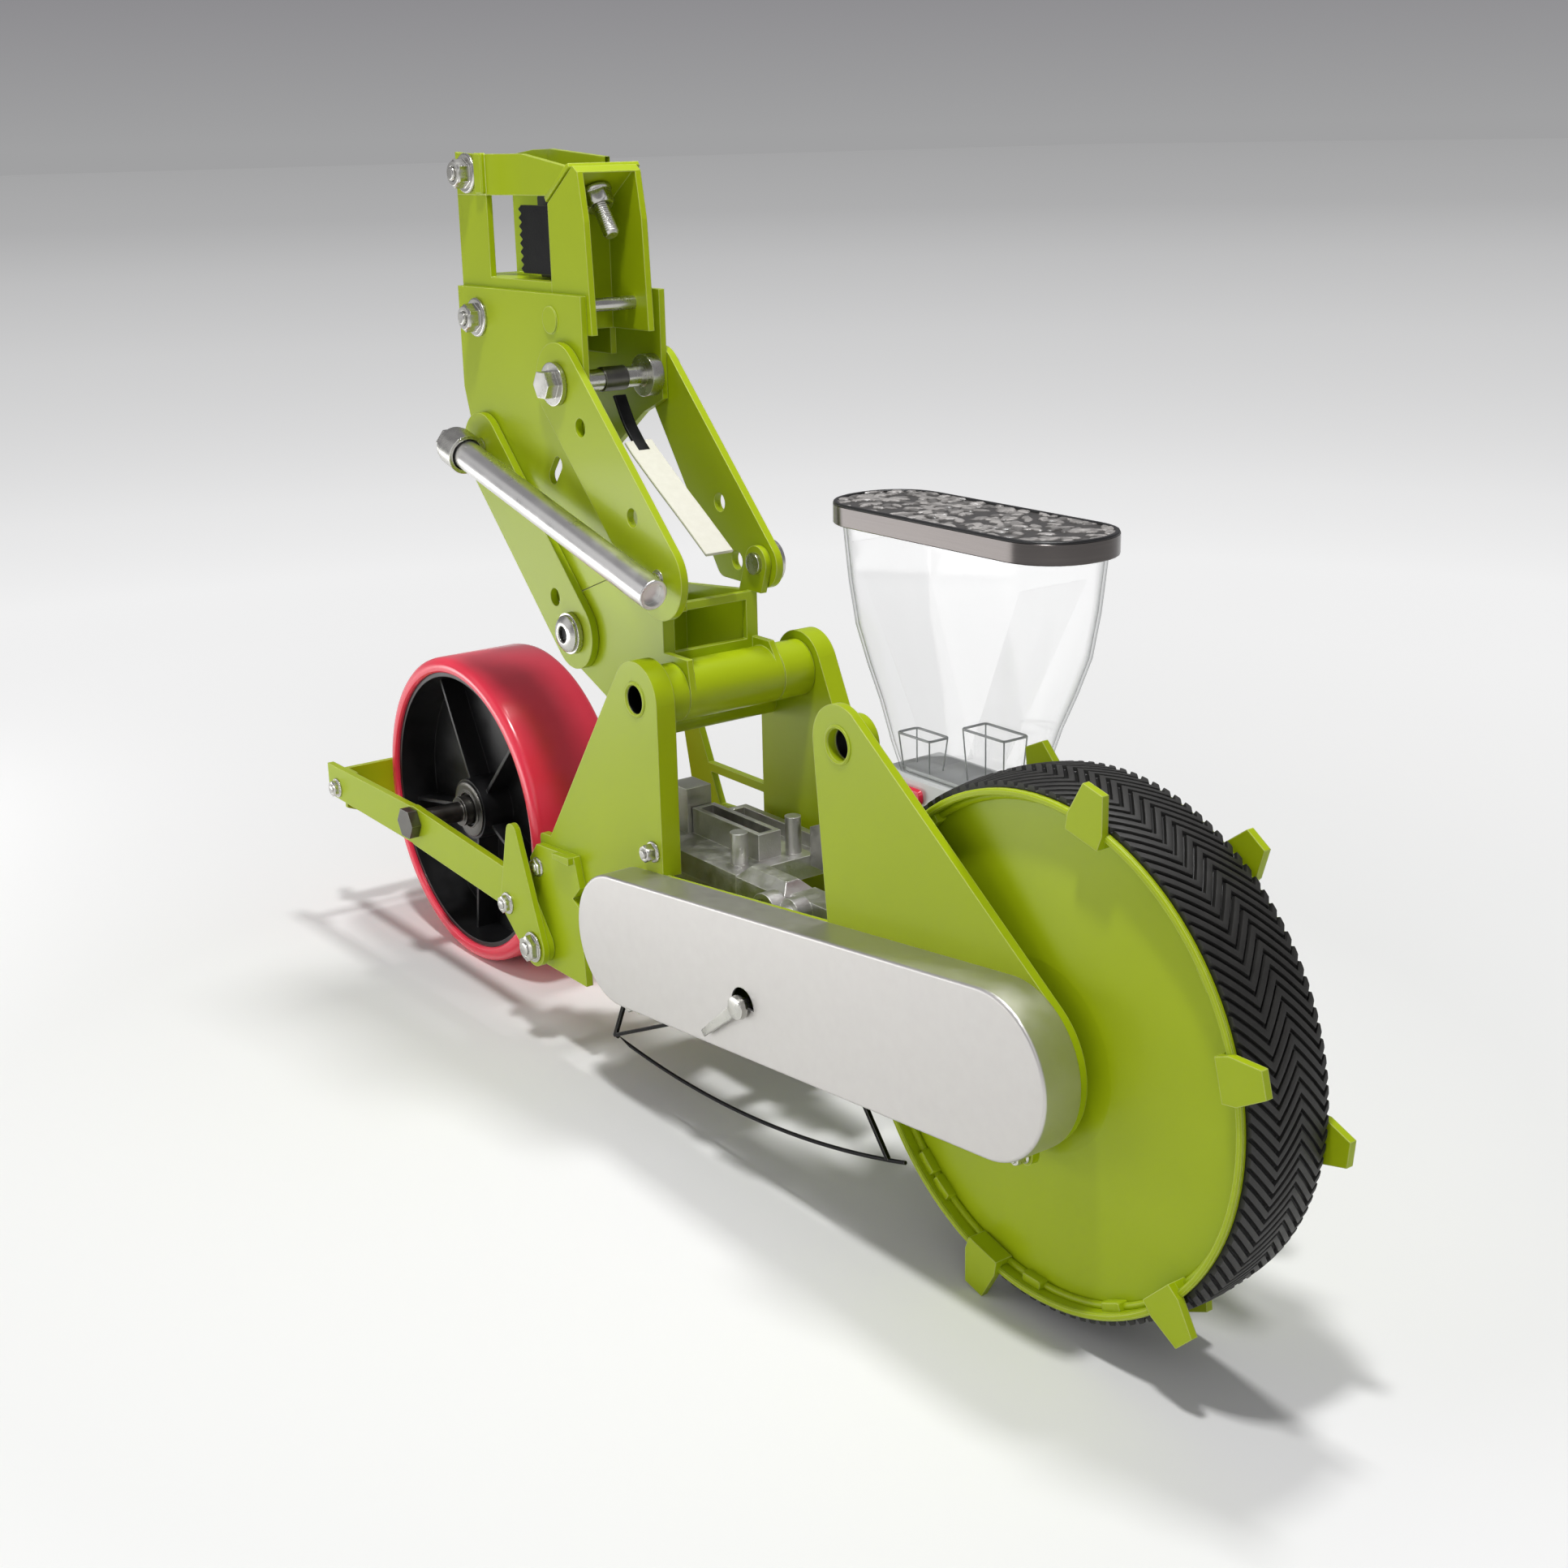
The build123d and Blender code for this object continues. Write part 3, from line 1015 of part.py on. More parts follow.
with BuildPart() as strut_collar:
    with BuildSketch(Plane(origin=strut_head - strut_dir * collar_half, x_dir=(0, 1, 0), z_dir=strut_dir)):
        Circle(collar_r)
    extrude(amount=2 * collar_half)
    round_bar(b1_x, b1_z, collar_half - 0.6, strut_y, link_near - link_t - gap)
    with BuildSketch(Plane(origin=strut_head - strut_dir * (collar_half + 4), x_dir=(0, 1, 0), z_dir=strut_dir)):
        Circle(collar_bore)
    extrude(amount=2 * collar_half + 8, mode=Mode.SUBTRACT)
    round_bar(b1_x, b1_z, stub_r + run, strut_y, link_near - link_t, Mode.SUBTRACT)
save(strut_collar.part, "strut_collar")

# Bent strap inside the linkage, hung on the upper head pin
strap_half = 12.0
strap_r = 1.5
strap_line = [(a1_x + 9, a1_z - 9), (axle_x - 505, 480), (axle_x - 484, 460), (axle_x - 440, 450), (axle_x - 417, 420),
              (axle_x - 398, 408)]
with BuildPart() as link_strap:
    round_bar(a1_x, a1_z, pin_r + 4, mid_y - strap_half, mid_y + strap_half)
    for start, end in zip(strap_line[:-1], strap_line[1:]):
        hull_plate([(start[0], start[1], strap_r), (end[0], end[1], strap_r)], mid_y - strap_half, mid_y + strap_half)
    round_bar(a1_x, a1_z, pin_r, mid_y - strap_half, mid_y + strap_half, Mode.SUBTRACT)
save(link_strap.part, "link_strap")

# Toolbar head: rear posts and floor, front channel, band over the top
with BuildPart() as clamp_head:
    for y0 in (head_near, head_far - head_wall):
        block(head_rear_x, window_rear_x, y0, y0 + head_wall, head_low_z, head_high_z)
        block(window_rear_x, window_front_x, y0, y0 + head_wall, head_low_z, window_low_z)
    block(head_rear_x, head_rear_x + head_wall, head_near, head_far, head_low_z, window_low_z)
    block(head_rear_x, window_front_x, head_near, head_far, window_low_z - head_wall, window_low_z)
save(clamp_head.part, "clamp_head")

slope = math.radians(35.0)
slope_dir = Vector(math.cos(slope), 0, math.sin(slope))
slope_out = Vector(-math.sin(slope), 0, math.cos(slope))
slope_start = Vector(window_front_x, 0, head_high_z - 5)
slope_len = 46.0
slope_end = slope_start + slope_dir * slope_len
channel_low_z = 560.0
shoulder_z = 640.0
channel_wall = 5.0
stud_mid = slope_start + slope_dir * (slope_len * 0.5)
stud_r = 6.0
stud_hole_r = 7.0
stud_plane = Plane(origin=(stud_mid.X, head_mid, stud_mid.Z), x_dir=(0, 1, 0), z_dir=(slope_out.X, 0, slope_out.Z))
with BuildPart() as clamp_channel:
    slab([(window_front_x, channel_low_z), (head_front_x + 4, channel_low_z), (head_front_x, shoulder_z),
          (slope_end.X + 6, slope_end.Z - 4), (slope_end.X, slope_end.Z), (slope_start.X, slope_start.Z)],
         head_near, head_far)
    slab([(window_front_x + channel_wall, channel_low_z - 2), (head_front_x + 20, channel_low_z - 2),
          (head_front_x + 20, slope_end.Z - 5), (slope_end.X + 2, slope_end.Z - 5),
          (slope_start.X + channel_wall, slope_start.Z - 2)],
         head_near + channel_wall, head_far - channel_wall, Mode.SUBTRACT)
    with BuildSketch(stud_plane.offset(-12)):
        Circle(stud_hole_r)
    extrude(amount=24, mode=Mode.SUBTRACT)
save(clamp_channel.part, "clamp_channel")

band_step = 8.0
band_gap = 1.5
band_plane = Plane.XY.offset(head_high_z)
with BuildPart() as clamp_band:
    for inset, mode in ((0.0, Mode.ADD), (band_t, Mode.SUBTRACT)):
        near_y = head_near + inset
        far_y = head_far - inset
        with BuildSketch(band_plane):
            with BuildLine():
                Polyline((head_rear_x + inset, near_y), (window_rear_x + 8, near_y),
                         (window_rear_x + 28, near_y + band_step), (slope_end.X + 6 * inset, near_y + band_step),
                         (slope_end.X + 6 * inset, far_y - band_step), (window_rear_x + 28, far_y - band_step),
                         (window_rear_x + 8, far_y), (head_rear_x + inset, far_y), close=True)
            make_face()
        extrude(amount=band_high_z - head_high_z, mode=mode)
    cut_foot = slope_start + slope_out * band_gap - slope_dir * 40
    cut_head = slope_start + slope_out * band_gap + slope_dir * 90
    slab([(cut_foot.X, cut_foot.Z), (cut_head.X, cut_head.Z), (cut_head.X + 60, cut_head.Z - 100),
          (cut_foot.X, cut_foot.Z - 60)], head_near, head_far, Mode.SUBTRACT)
    plate_foot = slope_start + slope_out * band_gap
    plate_head = slope_end + slope_out * band_gap - slope_dir * 4
    slab([(plate_foot.X, plate_foot.Z), (plate_head.X, plate_head.Z),
          (plate_head.X + band_t * slope_out.X, plate_head.Z + band_t * slope_out.Z),
          (plate_foot.X + band_t * slope_out.X, plate_foot.Z + band_t * slope_out.Z)],
         head_near, head_far + 6)
    with BuildSketch(stud_plane):
        Circle(stud_r)
    extrude(amount=30, mode=Mode.SUBTRACT)
save(clamp_band.part, "clamp_band")

nut_start = 7.0
with BuildPart() as clamp_nut:
    with BuildSketch(stud_plane.offset(-nut_start)):
        Circle(12.5)
    extrude(amount=-3)
    with BuildSketch(stud_plane.offset(-nut_start - 3)):
        RegularPolygon(10.0, 6, major_radius=False)
    extrude(amount=-10)
    with BuildSketch(stud_plane.offset(-nut_start)):
        Circle(stud_r + run)
    extrude(amount=-13, mode=Mode.SUBTRACT)
save(clamp_nut.part, "clamp_nut")

# Serrated jaw on the channel, and the head's bolts
jaw_half = 16.0
jaw_mid = mid_y - 13.0     # the jaw sits towards the near wall
jaw_wall = 4.0
jaw_reach = 58.0
jaw_low_z = 600.0
jaw_high_z = 650.0
tooth_pitch = 6.25
tooth_depth = 4.5
tooth_total = int(round((jaw_high_z - jaw_low_z) / tooth_pitch))
jaw_edge_x = window_front_x - jaw_reach
jaw_outline = [(window_front_x, jaw_low_z), (window_front_x, jaw_high_z)]
for tooth in range(tooth_total):
    high = jaw_high_z - tooth * tooth_pitch
    jaw_outline += [(jaw_edge_x + tooth_depth, high), (jaw_edge_x, high - tooth_pitch / 2)]
jaw_outline += [(jaw_edge_x + tooth_depth, jaw_low_z)]
with BuildPart() as clamp_jaw:
    slab(jaw_outline, jaw_mid - jaw_half, jaw_mid + jaw_half)
    block(jaw_edge_x - 5, window_front_x - jaw_wall, jaw_mid - jaw_half + jaw_wall, jaw_mid + jaw_half - jaw_wall,
          jaw_low_z - 5, jaw_high_z + 5, Mode.SUBTRACT)
save(clamp_jaw.part, "clamp_jaw")

stud_len = 44.0
bolt_washer_r = 15.0
bolt_washer_t = 3.0
bolt_nut_across = 19.0
# Bolts through the head: x, z, near face and far face
head_bolts = [(head_rear_x + 18, band_high_z - 17, head_near, head_far), (head_rear_x + 30, 565.0, tower_near, tower_far)]
with BuildPart() as clamp_bolts:
    for bolt_x, bolt_z, near_face, far_face in head_bolts:
        round_bar(bolt_x, bolt_z, bolt_washer_r, near_face - bolt_washer_t, near_face)
        hexagon(bolt_x, bolt_z, bolt_nut_across, near_face - bolt_washer_t - 12, near_face - bolt_washer_t)
        round_bar(bolt_x, bolt_z, bolt_washer_r, far_face, far_face + bolt_washer_t)
        hexagon(bolt_x, bolt_z, bolt_nut_across, far_face + bolt_washer_t, far_face + bolt_washer_t + 10)
    round_bar(head_bolts[1][0], head_bolts[1][1], bolt_washer_r - 3, head_far, tower_far - tower_t)
    round_bar(axle_x - 522, 580, 5.0, head_near + channel_wall, head_far - channel_wall)
    with BuildSketch(stud_plane.offset(band_gap + band_t)):
        Circle(stud_r)
    extrude(amount=-(band_gap + band_t + stud_len))
    with BuildSketch(stud_plane.offset(band_gap + band_t)):
        RegularPolygon(9.5, 6, major_radius=False)
    extrude(amount=6)
save(clamp_bolts.part, "clamp_bolts")
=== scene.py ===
# %% [markdown]
# # A seeder row unit in Blender
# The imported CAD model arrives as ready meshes, one object per piece, all in metres and already in place. This lesson
# sets up the camera, gives every piece its finish, and builds what plain solids can't show: the tyre's tread, the
# clear hopper, the lid, the bolts and the small fittings. Floor and light come last.

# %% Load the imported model
import json
import math

import bmesh
import bpy
import numpy as np
from mathutils import Matrix, Vector


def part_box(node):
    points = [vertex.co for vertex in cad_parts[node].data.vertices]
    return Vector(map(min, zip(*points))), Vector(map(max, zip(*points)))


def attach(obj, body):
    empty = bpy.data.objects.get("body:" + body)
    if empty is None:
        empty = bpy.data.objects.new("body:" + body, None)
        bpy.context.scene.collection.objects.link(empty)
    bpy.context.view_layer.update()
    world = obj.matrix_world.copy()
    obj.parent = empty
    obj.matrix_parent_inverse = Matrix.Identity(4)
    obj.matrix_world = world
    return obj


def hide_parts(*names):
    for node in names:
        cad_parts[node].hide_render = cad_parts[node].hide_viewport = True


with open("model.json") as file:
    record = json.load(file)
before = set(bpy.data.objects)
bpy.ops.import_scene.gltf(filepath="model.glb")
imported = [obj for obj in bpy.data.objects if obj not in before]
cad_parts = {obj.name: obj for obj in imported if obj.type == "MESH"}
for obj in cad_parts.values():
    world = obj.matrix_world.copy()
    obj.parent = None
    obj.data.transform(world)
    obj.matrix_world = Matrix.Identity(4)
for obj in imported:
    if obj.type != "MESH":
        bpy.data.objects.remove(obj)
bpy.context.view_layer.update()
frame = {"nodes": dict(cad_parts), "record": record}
nodes = frame["nodes"]
slots = {part["node"]: part["material_slot"] for part in frame["record"]["subparts"]}

# %% [markdown]
# ## Camera
# The camera was worked out from the two wheels, the chain cover and the hopper lid: a point, a heading, a tilt and a
# slight roll. A camera could also be aimed at a target by a constraint, but that has no roll. Here its three axes are
# built from the angles and put into its matrix.

# %% Camera
FRAME_PIXELS = 1932
FOCAL_PIXELS = 2561.16
SENSOR = 36.0
heading, tilt, roll = np.radians([53.8516, 17.4087, -1.2534])
eye = np.array([1.190234, -0.83003, 0.69834])
back = np.array([math.sin(heading) * math.cos(tilt), -math.cos(heading) * math.cos(tilt), math.sin(tilt)])
level = np.array([math.cos(heading), math.sin(heading), 0.0])
upright = np.cross(level, -back)
pose = np.eye(4)
pose[:3, 0] = math.cos(roll) * level + math.sin(roll) * upright
pose[:3, 1] = -math.sin(roll) * level + math.cos(roll) * upright
pose[:3, 2] = back
pose[:3, 3] = eye
lens = bpy.data.cameras.new("camera")
lens.sensor_fit = "HORIZONTAL"
lens.sensor_width = SENSOR
lens.lens = SENSOR * FOCAL_PIXELS / FRAME_PIXELS
camera = bpy.data.objects.new("camera", lens)
camera.matrix_world = Matrix(pose.tolist())
bpy.context.scene.collection.objects.link(camera)
bpy.context.scene.camera = camera
bpy.context.scene.view_settings.view_transform = "Standard"
print("lens", round(lens.lens, 2), "mm")

# %% [markdown]
# ## Helpers for materials
# Colours are written as in a paint chart, in sRGB hex, while the shaders count light, so one function turns the first
# into the second. Nodes could be joined by hand in the shader editor, but a script can be run again. One function adds
# a node with its settings and links, and one starts an empty material, so that each finish takes a few lines.

# %% Colour and node helpers
def linear(hex_colour):
    """sRGB hex text to a linear colour: a straight part near black, then a power of 2.4."""
    channel = np.array([int(hex_colour[i:i + 2], 16) for i in (1, 3, 5)]) / 255.0
    value = np.where(channel <= 0.04045, channel / 12.92, ((channel + 0.055) / 1.055) ** 2.4)
    return (*value.tolist(), 1.0)


def add(tree, kind, links=(), **settings):
    """Add a node: settings are attributes, inputs by name or _N for input N; links are (input, source).

    A source is an output socket, or a node for its first output.
    """
    node = tree.nodes.new("ShaderNode" + kind)
    for name, value in settings.items():
        if name.startswith("_"):
            node.inputs[int(name[1:])].default_value = value
        elif hasattr(node, name):
            setattr(node, name, value)
        else:
            node.inputs[name.replace("__", " ")].default_value = value
    for target, source in links:
        tree.links.new(getattr(source, "outputs", [source])[0], node.inputs[target])
    return node


def blank(name):
    """New material with an empty node tree, and the place on the piece that its patterns read."""
    material = bpy.data.materials.new(name)
    material.use_nodes = True
    tree = material.node_tree
    tree.nodes.clear()
    return material, tree, add(tree, "TexCoord").outputs["Object"]


finishes = {}
print("lime in linear light", [round(value, 3) for value in linear("#9db00c")])

# %% [markdown]
# ## Powder-coated sheet steel
# The frame is cut and folded sheet steel with a lime green powder coat, baked to a smooth satin gloss. The coat runs
# thin on cut edges, and the edges catch the light. The edges could be beveled in the mesh, but CAD meshes stay as they
# are, so a bevel shader finds them: where its rounded normal leaves the true one, the colour turns pale, partly as the
# thin coat and partly as a painted highlight.

# %% Green powder coat
PAINT_EDGE = 0.0012     # radius of a painted edge, in metres


def edge_line(tree, radius):
    """0 on flat faces and 1 on edges: one minus the dot product of the rounded and the true normal, stretched."""
    soft = add(tree, "Bevel", samples=6, Radius=radius)
    true = add(tree, "NewGeometry")
    dot = add(tree, "VectorMath", [(0, soft), (1, true.outputs["Normal"])], operation="DOT_PRODUCT")
    line = add(tree, "MapRange", [("Value", dot.outputs["Value"])], From__Min=0.985, From__Max=0.86)
    return line, soft


# a baked powder coat: even colour with slow clouds, a satin gloss, pale cut edges that are partly thin coat and partly
# painted highlight
material, tree, place = blank("powder_coated_steel_lime")
edge, soft_normal = edge_line(tree, PAINT_EDGE)
# clouds about 110 mm across
cloud = add(tree, "TexNoise", [("Vector", place)], Scale=9.0, Detail=3.0)
coat = add(tree, "Mix", [("Factor", cloud)], data_type="RGBA", _6=linear("#9db00c"), _7=linear("#acbf14"))
# pale edge colour: partly thin coat, partly a painted highlight
thin_coat_and_highlight = add(tree, "Mix", [("Factor", edge), (6, coat.outputs[2])], data_type="RGBA", _7=linear("#d3df7c"))
gloss = add(tree, "MapRange", [("Value", cloud)], To__Min=0.28, To__Max=0.40)
# orange peel of the baked powder, about 2.4 mm from bump to bump
peel = add(tree, "TexNoise", [("Vector", place)], Scale=420.0, Detail=1.0)
skin = add(tree, "Bump", [("Height", peel), ("Normal", soft_normal)], Strength=0.04, Distance=0.0004)
paint = add(tree, "BsdfPrincipled", [("Base Color", thin_coat_and_highlight.outputs[2]), ("Roughness", gloss), ("Normal", skin)],
            IOR=1.5, Specular__IOR__Level=0.22, Coat__Weight=0.08, Coat__Roughness=0.1)
add(tree, "OutputMaterial", [("Surface", paint)])
finishes["green_paint"] = material
print("finish", material.name)

# %% [markdown]
# ## Bare and plated metal
# Bolts and pins are zinc plated. The brace is a drawn tube, the chain cover is blasted aluminium, the meter is a sand
# casting, and the chain is blackened. Each could have a node tree of its own, but they are all metals whose roughness
# follows a fine noise, so they share one recipe and differ in colour, grain and the pale tone of their edges, which is
# partly rubbed metal and partly a painted highlight.

# %% Metals
METAL_EDGE = 0.0009
METALS = {
    # finish: name, dark tone, light tone, edge tone (rubbed metal and painted highlight), roughness low and high, grain
    # in mm, bump
    # zinc plate: bright grey with a faint mottle
    "zinc_steel": ("zinc_plated_steel", "#b4b3ad", "#d8d7d2", "#f4f3ee", 0.18, 0.36, 2.0, 0.05),
    # blasted sheet: an even satin that blurs what it mirrors
    "satin_cover": ("blasted_aluminium", "#cac7c5", "#d4d2cf", "#f4f3f1", 0.42, 0.48, 1.2, 0.02),
    # drawn tube: pale, with long soft highlights
    "polished_tube": ("drawn_steel_tube", "#dcdbd9", "#ecebe9", "#f8f7f4", 0.26, 0.38, 3.0, 0.03),
    # sand casting: dull and grainy; its pale edges are partly rubbed and partly painted highlight
    "cast_grey": ("sand_cast_aluminium", "#b2b1ad", "#deddda", "#fbfaf7", 0.34, 0.56, 1.4, 0.30),
    # blackened steel: near black with grey edges, partly rubbed and partly a painted sheen
    "dark_steel": ("blackened_steel", "#161617", "#2a2a2b", "#6d6c69", 0.34, 0.52, 1.5, 0.10),
    # turned bar: plain mid grey
    "turned_steel": ("turned_bar_steel", "#5a5956", "#76746f", "#a9a7a2", 0.30, 0.44, 1.8, 0.06),
    # bearing bronze: warm brown, oiled
    "bronze_bush": ("oil_bronze", "#8a6233", "#a97e48", "#d2ab74", 0.25, 0.40, 1.5, 0.05),
}
for slot, (name, dark, light, bright, low, high, grain, bump) in METALS.items():
    material, tree, place = blank(name)
    edge, soft_normal = edge_line(tree, METAL_EDGE)
    mottle = add(tree, "TexNoise", [("Vector", place)], Scale=1000.0 / (grain * 8), Detail=4.0, Roughness=0.65)
    grains = add(tree, "TexNoise", [("Vector", place)], Scale=1000.0 / grain, Detail=2.0)
    tone = add(tree, "Mix", [("Factor", mottle)], data_type="RGBA", _6=linear(dark), _7=linear(light))
    # pale edges: partly rubbed metal, partly a painted highlight
    rubbed_and_highlit = add(tree, "Mix", [("Factor", edge), (6, tone.outputs[2])], data_type="RGBA", _7=linear(bright))
    shine = add(tree, "MapRange", [("Value", mottle)], From__Min=0.3, From__Max=0.7, To__Min=low, To__Max=high)
    skin = add(tree, "Bump", [("Height", grains), ("Normal", soft_normal)], Strength=bump, Distance=0.0006)
    metal = add(tree, "BsdfPrincipled", [("Base Color", rubbed_and_highlit.outputs[2]), ("Roughness", shine), ("Normal", skin)],
                Metallic=1.0)
    add(tree, "OutputMaterial", [("Surface", metal)])
    finishes[slot] = material
    print("finish", name)

# %% [markdown]
# ## Plastics
# The press wheel has a cast polyurethane tread, red right through and glossy, on a moulded black nylon hub. The strap
# in the linkage is a pale nylon web, and the hopper's seat is milky polypropylene. A picture of dust could be wrapped
# on, but needs a UV map on every piece, so a soft noise lifts the colour a little and dulls the gloss.

# %% Opaque plastics
PLASTIC_EDGE = 0.0010
PLASTICS = {
    # finish: name, deep tone, bloom tone, roughness low and high, IOR, coat, pattern in mm
    # rubber: matt and dusty
    "tyre_black": ("carbon_black_rubber", "#151516", "#2b2b2b", 0.48, 0.72, 1.52, 0.0, 14.0),
    # filled nylon: deep black with a dull shine
    "black_plastic": ("glass_filled_nylon_black", "#0d0d0e", "#18181a", 0.30, 0.46, 1.53, 0.0, 20.0),
    # cast polyurethane: strong red under a wet-looking skin
    "red_plastic": ("cast_polyurethane_red", "#f02c46", "#f83f58", 0.18, 0.28, 1.50, 0.4, 60.0),
    # bleached web: pale and without gloss
    "pale_web": ("bleached_nylon_web", "#d2cfc0", "#e6e4d8", 0.55, 0.75, 1.53, 0.0, 6.0),
    # cut edge of a clear sheet: grey, because light runs out there
    "cut_edge": ("clear_pet_cut_edge", "#a4a8a9", "#bcc0c1", 0.12, 0.24, 1.57, 0.2, 12.0),
    # milky polypropylene: white with a waxy gloss
    "milky_seat": ("milky_polypropylene", "#dfe1e0", "#eceeed", 0.28, 0.42, 1.49, 0.2, 40.0),
}
for slot, (name, deep, bloom, low, high, ior, coat_weight, patch) in PLASTICS.items():
    material, tree, place = blank(name)
    edge, soft_normal = edge_line(tree, PLASTIC_EDGE)
    dust = add(tree, "TexNoise", [("Vector", place)], Scale=1000.0 / patch, Detail=5.0, Roughness=0.6)
    tone = add(tree, "Mix", [("Factor", dust)], data_type="RGBA", _6=linear(deep), _7=linear(bloom))
    shine = add(tree, "MapRange", [("Value", dust)], From__Min=0.3, From__Max=0.7, To__Min=low, To__Max=high)
    # grain of the mould, about 1.1 mm
    grit = add(tree, "TexNoise", [("Vector", place)], Scale=900.0, Detail=2.0)
    skin = add(tree, "Bump", [("Height", grit), ("Normal", soft_normal)], Strength=0.06, Distance=0.0004)
    body = add(tree, "BsdfPrincipled", [("Base Color", tone.outputs[2]), ("Roughness", shine), ("Normal", skin)],
               IOR=ior, Coat__Weight=coat_weight, Coat__Roughness=0.15)
    add(tree, "OutputMaterial", [("Surface", body)])
    finishes[slot] = material
    print("finish", name)

# %% [markdown]
# ## Tread rubber
# A worn tread shows dusty grey lands, and its grooves lie in shade. The grooves could be found by a shader from the
# shape, but the tread's mesh knows them already: it carries a number at each point, 1 on a land and 0 at the bottom of
# a
# groove. The rubber reads it: dust lies on the lands only, and the grooves have no dust and are painted darker still,
# as painted shade.

# %% Tread rubber
# carbon black rubber, moulded: matt, with grey dust on the lands and painted shade in the grooves
tread_rubber, tree, place = blank("carbon_black_tread")
land_dust_and_groove_shade = add(tree, "Attribute", attribute_name="tone").outputs["Fac"]
# patches of dust about 9 mm wide
dust = add(tree, "TexNoise", [("Vector", place)], Scale=1000.0 / 9.0, Detail=5.0, Roughness=0.65)
dusty = add(tree, "Mix", [("Factor", dust)], data_type="RGBA", _6=linear("#100f0e"), _7=linear("#2d2c29"))
# grooves: no dust, and darker than clean rubber as painted shade
tread_dust_and_groove_shade = add(tree, "Mix", [("Factor", land_dust_and_groove_shade), (7, dusty.outputs[2])], data_type="RGBA", _6=linear("#080807"))
shine = add(tree, "MapRange", [("Value", dust)], To__Min=0.42, To__Max=0.70)
grit = add(tree, "TexNoise", [("Vector", place)], Scale=900.0, Detail=2.0)
skin = add(tree, "Bump", [("Height", grit)], Strength=0.10, Distance=0.0004)
rubber = add(tree, "BsdfPrincipled", [("Base Color", tread_dust_and_groove_shade.outputs[2]), ("Roughness", shine), ("Normal", skin)],
             IOR=1.52)
add(tree, "OutputMaterial", [("Surface", rubber)])
print("finish", tread_rubber.name)

# %% [markdown]
# ## Clear hopper plastic
# The hopper is blow moulded clear PET. Light passes straight through a thin wall, and where the eye looks along the
# sheet the wall turns grey and mirrors the room. Full glass would bend the light at each face, which a wall of 2 mm
# hardly does, so the wall is a see-through shader that takes a tint and a mirror towards its edges.

# %% Clear plastic
# blown PET: clear when faced, a grey line with a mirror where the sheet is seen along its length
material, tree, place = blank("clear_pet")
# slow waves of the blown sheet, about 70 mm long
wave = add(tree, "TexNoise", [("Vector", place)], Scale=14.0, Detail=1.0)
flow = add(tree, "Bump", [("Height", wave)], Strength=0.05, Distance=0.002)
along = add(tree, "LayerWeight", [("Normal", flow)], Blend=0.5).outputs["Facing"]
steep = add(tree, "Math", [(0, along)], operation="POWER", _1=5.0)
tint = add(tree, "Mix", [("Factor", steep)], data_type="RGBA", _6=linear("#ffffff"), _7=linear("#7f8486"))
mirror = add(tree, "MapRange", [("Value", steep)], To__Min=0.015, To__Max=0.55)
open_wall = add(tree, "BsdfTransparent", [("Color", tint.outputs[2])])
sheen = add(tree, "BsdfGlossy", [("Normal", flow)], Roughness=0.05)
wall = add(tree, "MixShader", [(0, mirror), (1, open_wall), (2, sheen)])
add(tree, "OutputMaterial", [("Surface", wall)])
finishes["clear_plastic"] = material
print("finish", material.name)

# %% [markdown]
# ## Lid finishes
# The lid has a pressed band of brown-grey anodised metal and a dark top set with pale flakes. Flakes from a noise or a
# Voronoi texture would lie flat, so they are shaped in the mesh further down. Each point of that mesh carries the tone
# of its flake, and the finish reads it.

# %% Lid finishes
# anodised strip, polished along its length: brown-grey with soft streaks
material, tree, place = blank("anodised_band_grey")
# streaks 50 mm long and about 1.3 mm high
drawn = add(tree, "Mapping", [("Vector", place)], Scale=(1, 1, 40))
streak = add(tree, "TexNoise", [("Vector", drawn)], Scale=20.0, Detail=3.0)
tone = add(tree, "Mix", [("Factor", streak)], data_type="RGBA", _6=linear("#504c4b"), _7=linear("#625e5c"))
shine = add(tree, "MapRange", [("Value", streak)], To__Min=0.16, To__Max=0.28)
anodised = add(tree, "BsdfPrincipled", [("Base Color", tone.outputs[2]), ("Roughness", shine)], Metallic=1.0)
add(tree, "OutputMaterial", [("Surface", anodised)])
finishes["lid_grey"] = material

# pressed board with stone flakes: near black ground, flakes from dark to pale grey
flecked, tree, place = blank("flaked_lid_board")
flake = add(tree, "Attribute", attribute_name="tone").outputs["Fac"]
# grain of the stone, about 2.5 mm
stone = add(tree, "TexNoise", [("Vector", place)], Scale=400.0, Detail=4.0)
dark_tone = add(tree, "Mix", [("Factor", stone)], data_type="RGBA", _6=linear("#0e0e0e"), _7=linear("#4a4744"))
pale_tone = add(tree, "Mix", [("Factor", stone)], data_type="RGBA", _6=linear("#77736f"), _7=linear("#c2bebb"))
board = add(tree, "Mix", [("Factor", flake), (6, dark_tone.outputs[2]), (7, pale_tone.outputs[2])], data_type="RGBA")
top_skin = add(tree, "BsdfPrincipled", [("Base Color", board.outputs[2])], Roughness=0.34, IOR=1.5)
add(tree, "OutputMaterial", [("Surface", top_skin)])
print("finishes", material.name, flecked.name)

# %% [markdown]
# ## Dressing the CAD pieces
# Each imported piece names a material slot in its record, and that slot's finish goes on it. A few pieces differ from
# their slot's first finish: the polished brace with its plated collar and nut, the plain turned axle, the pale strap
# and the milky seat of the hopper. A short table names these, and the loop needs no special case.

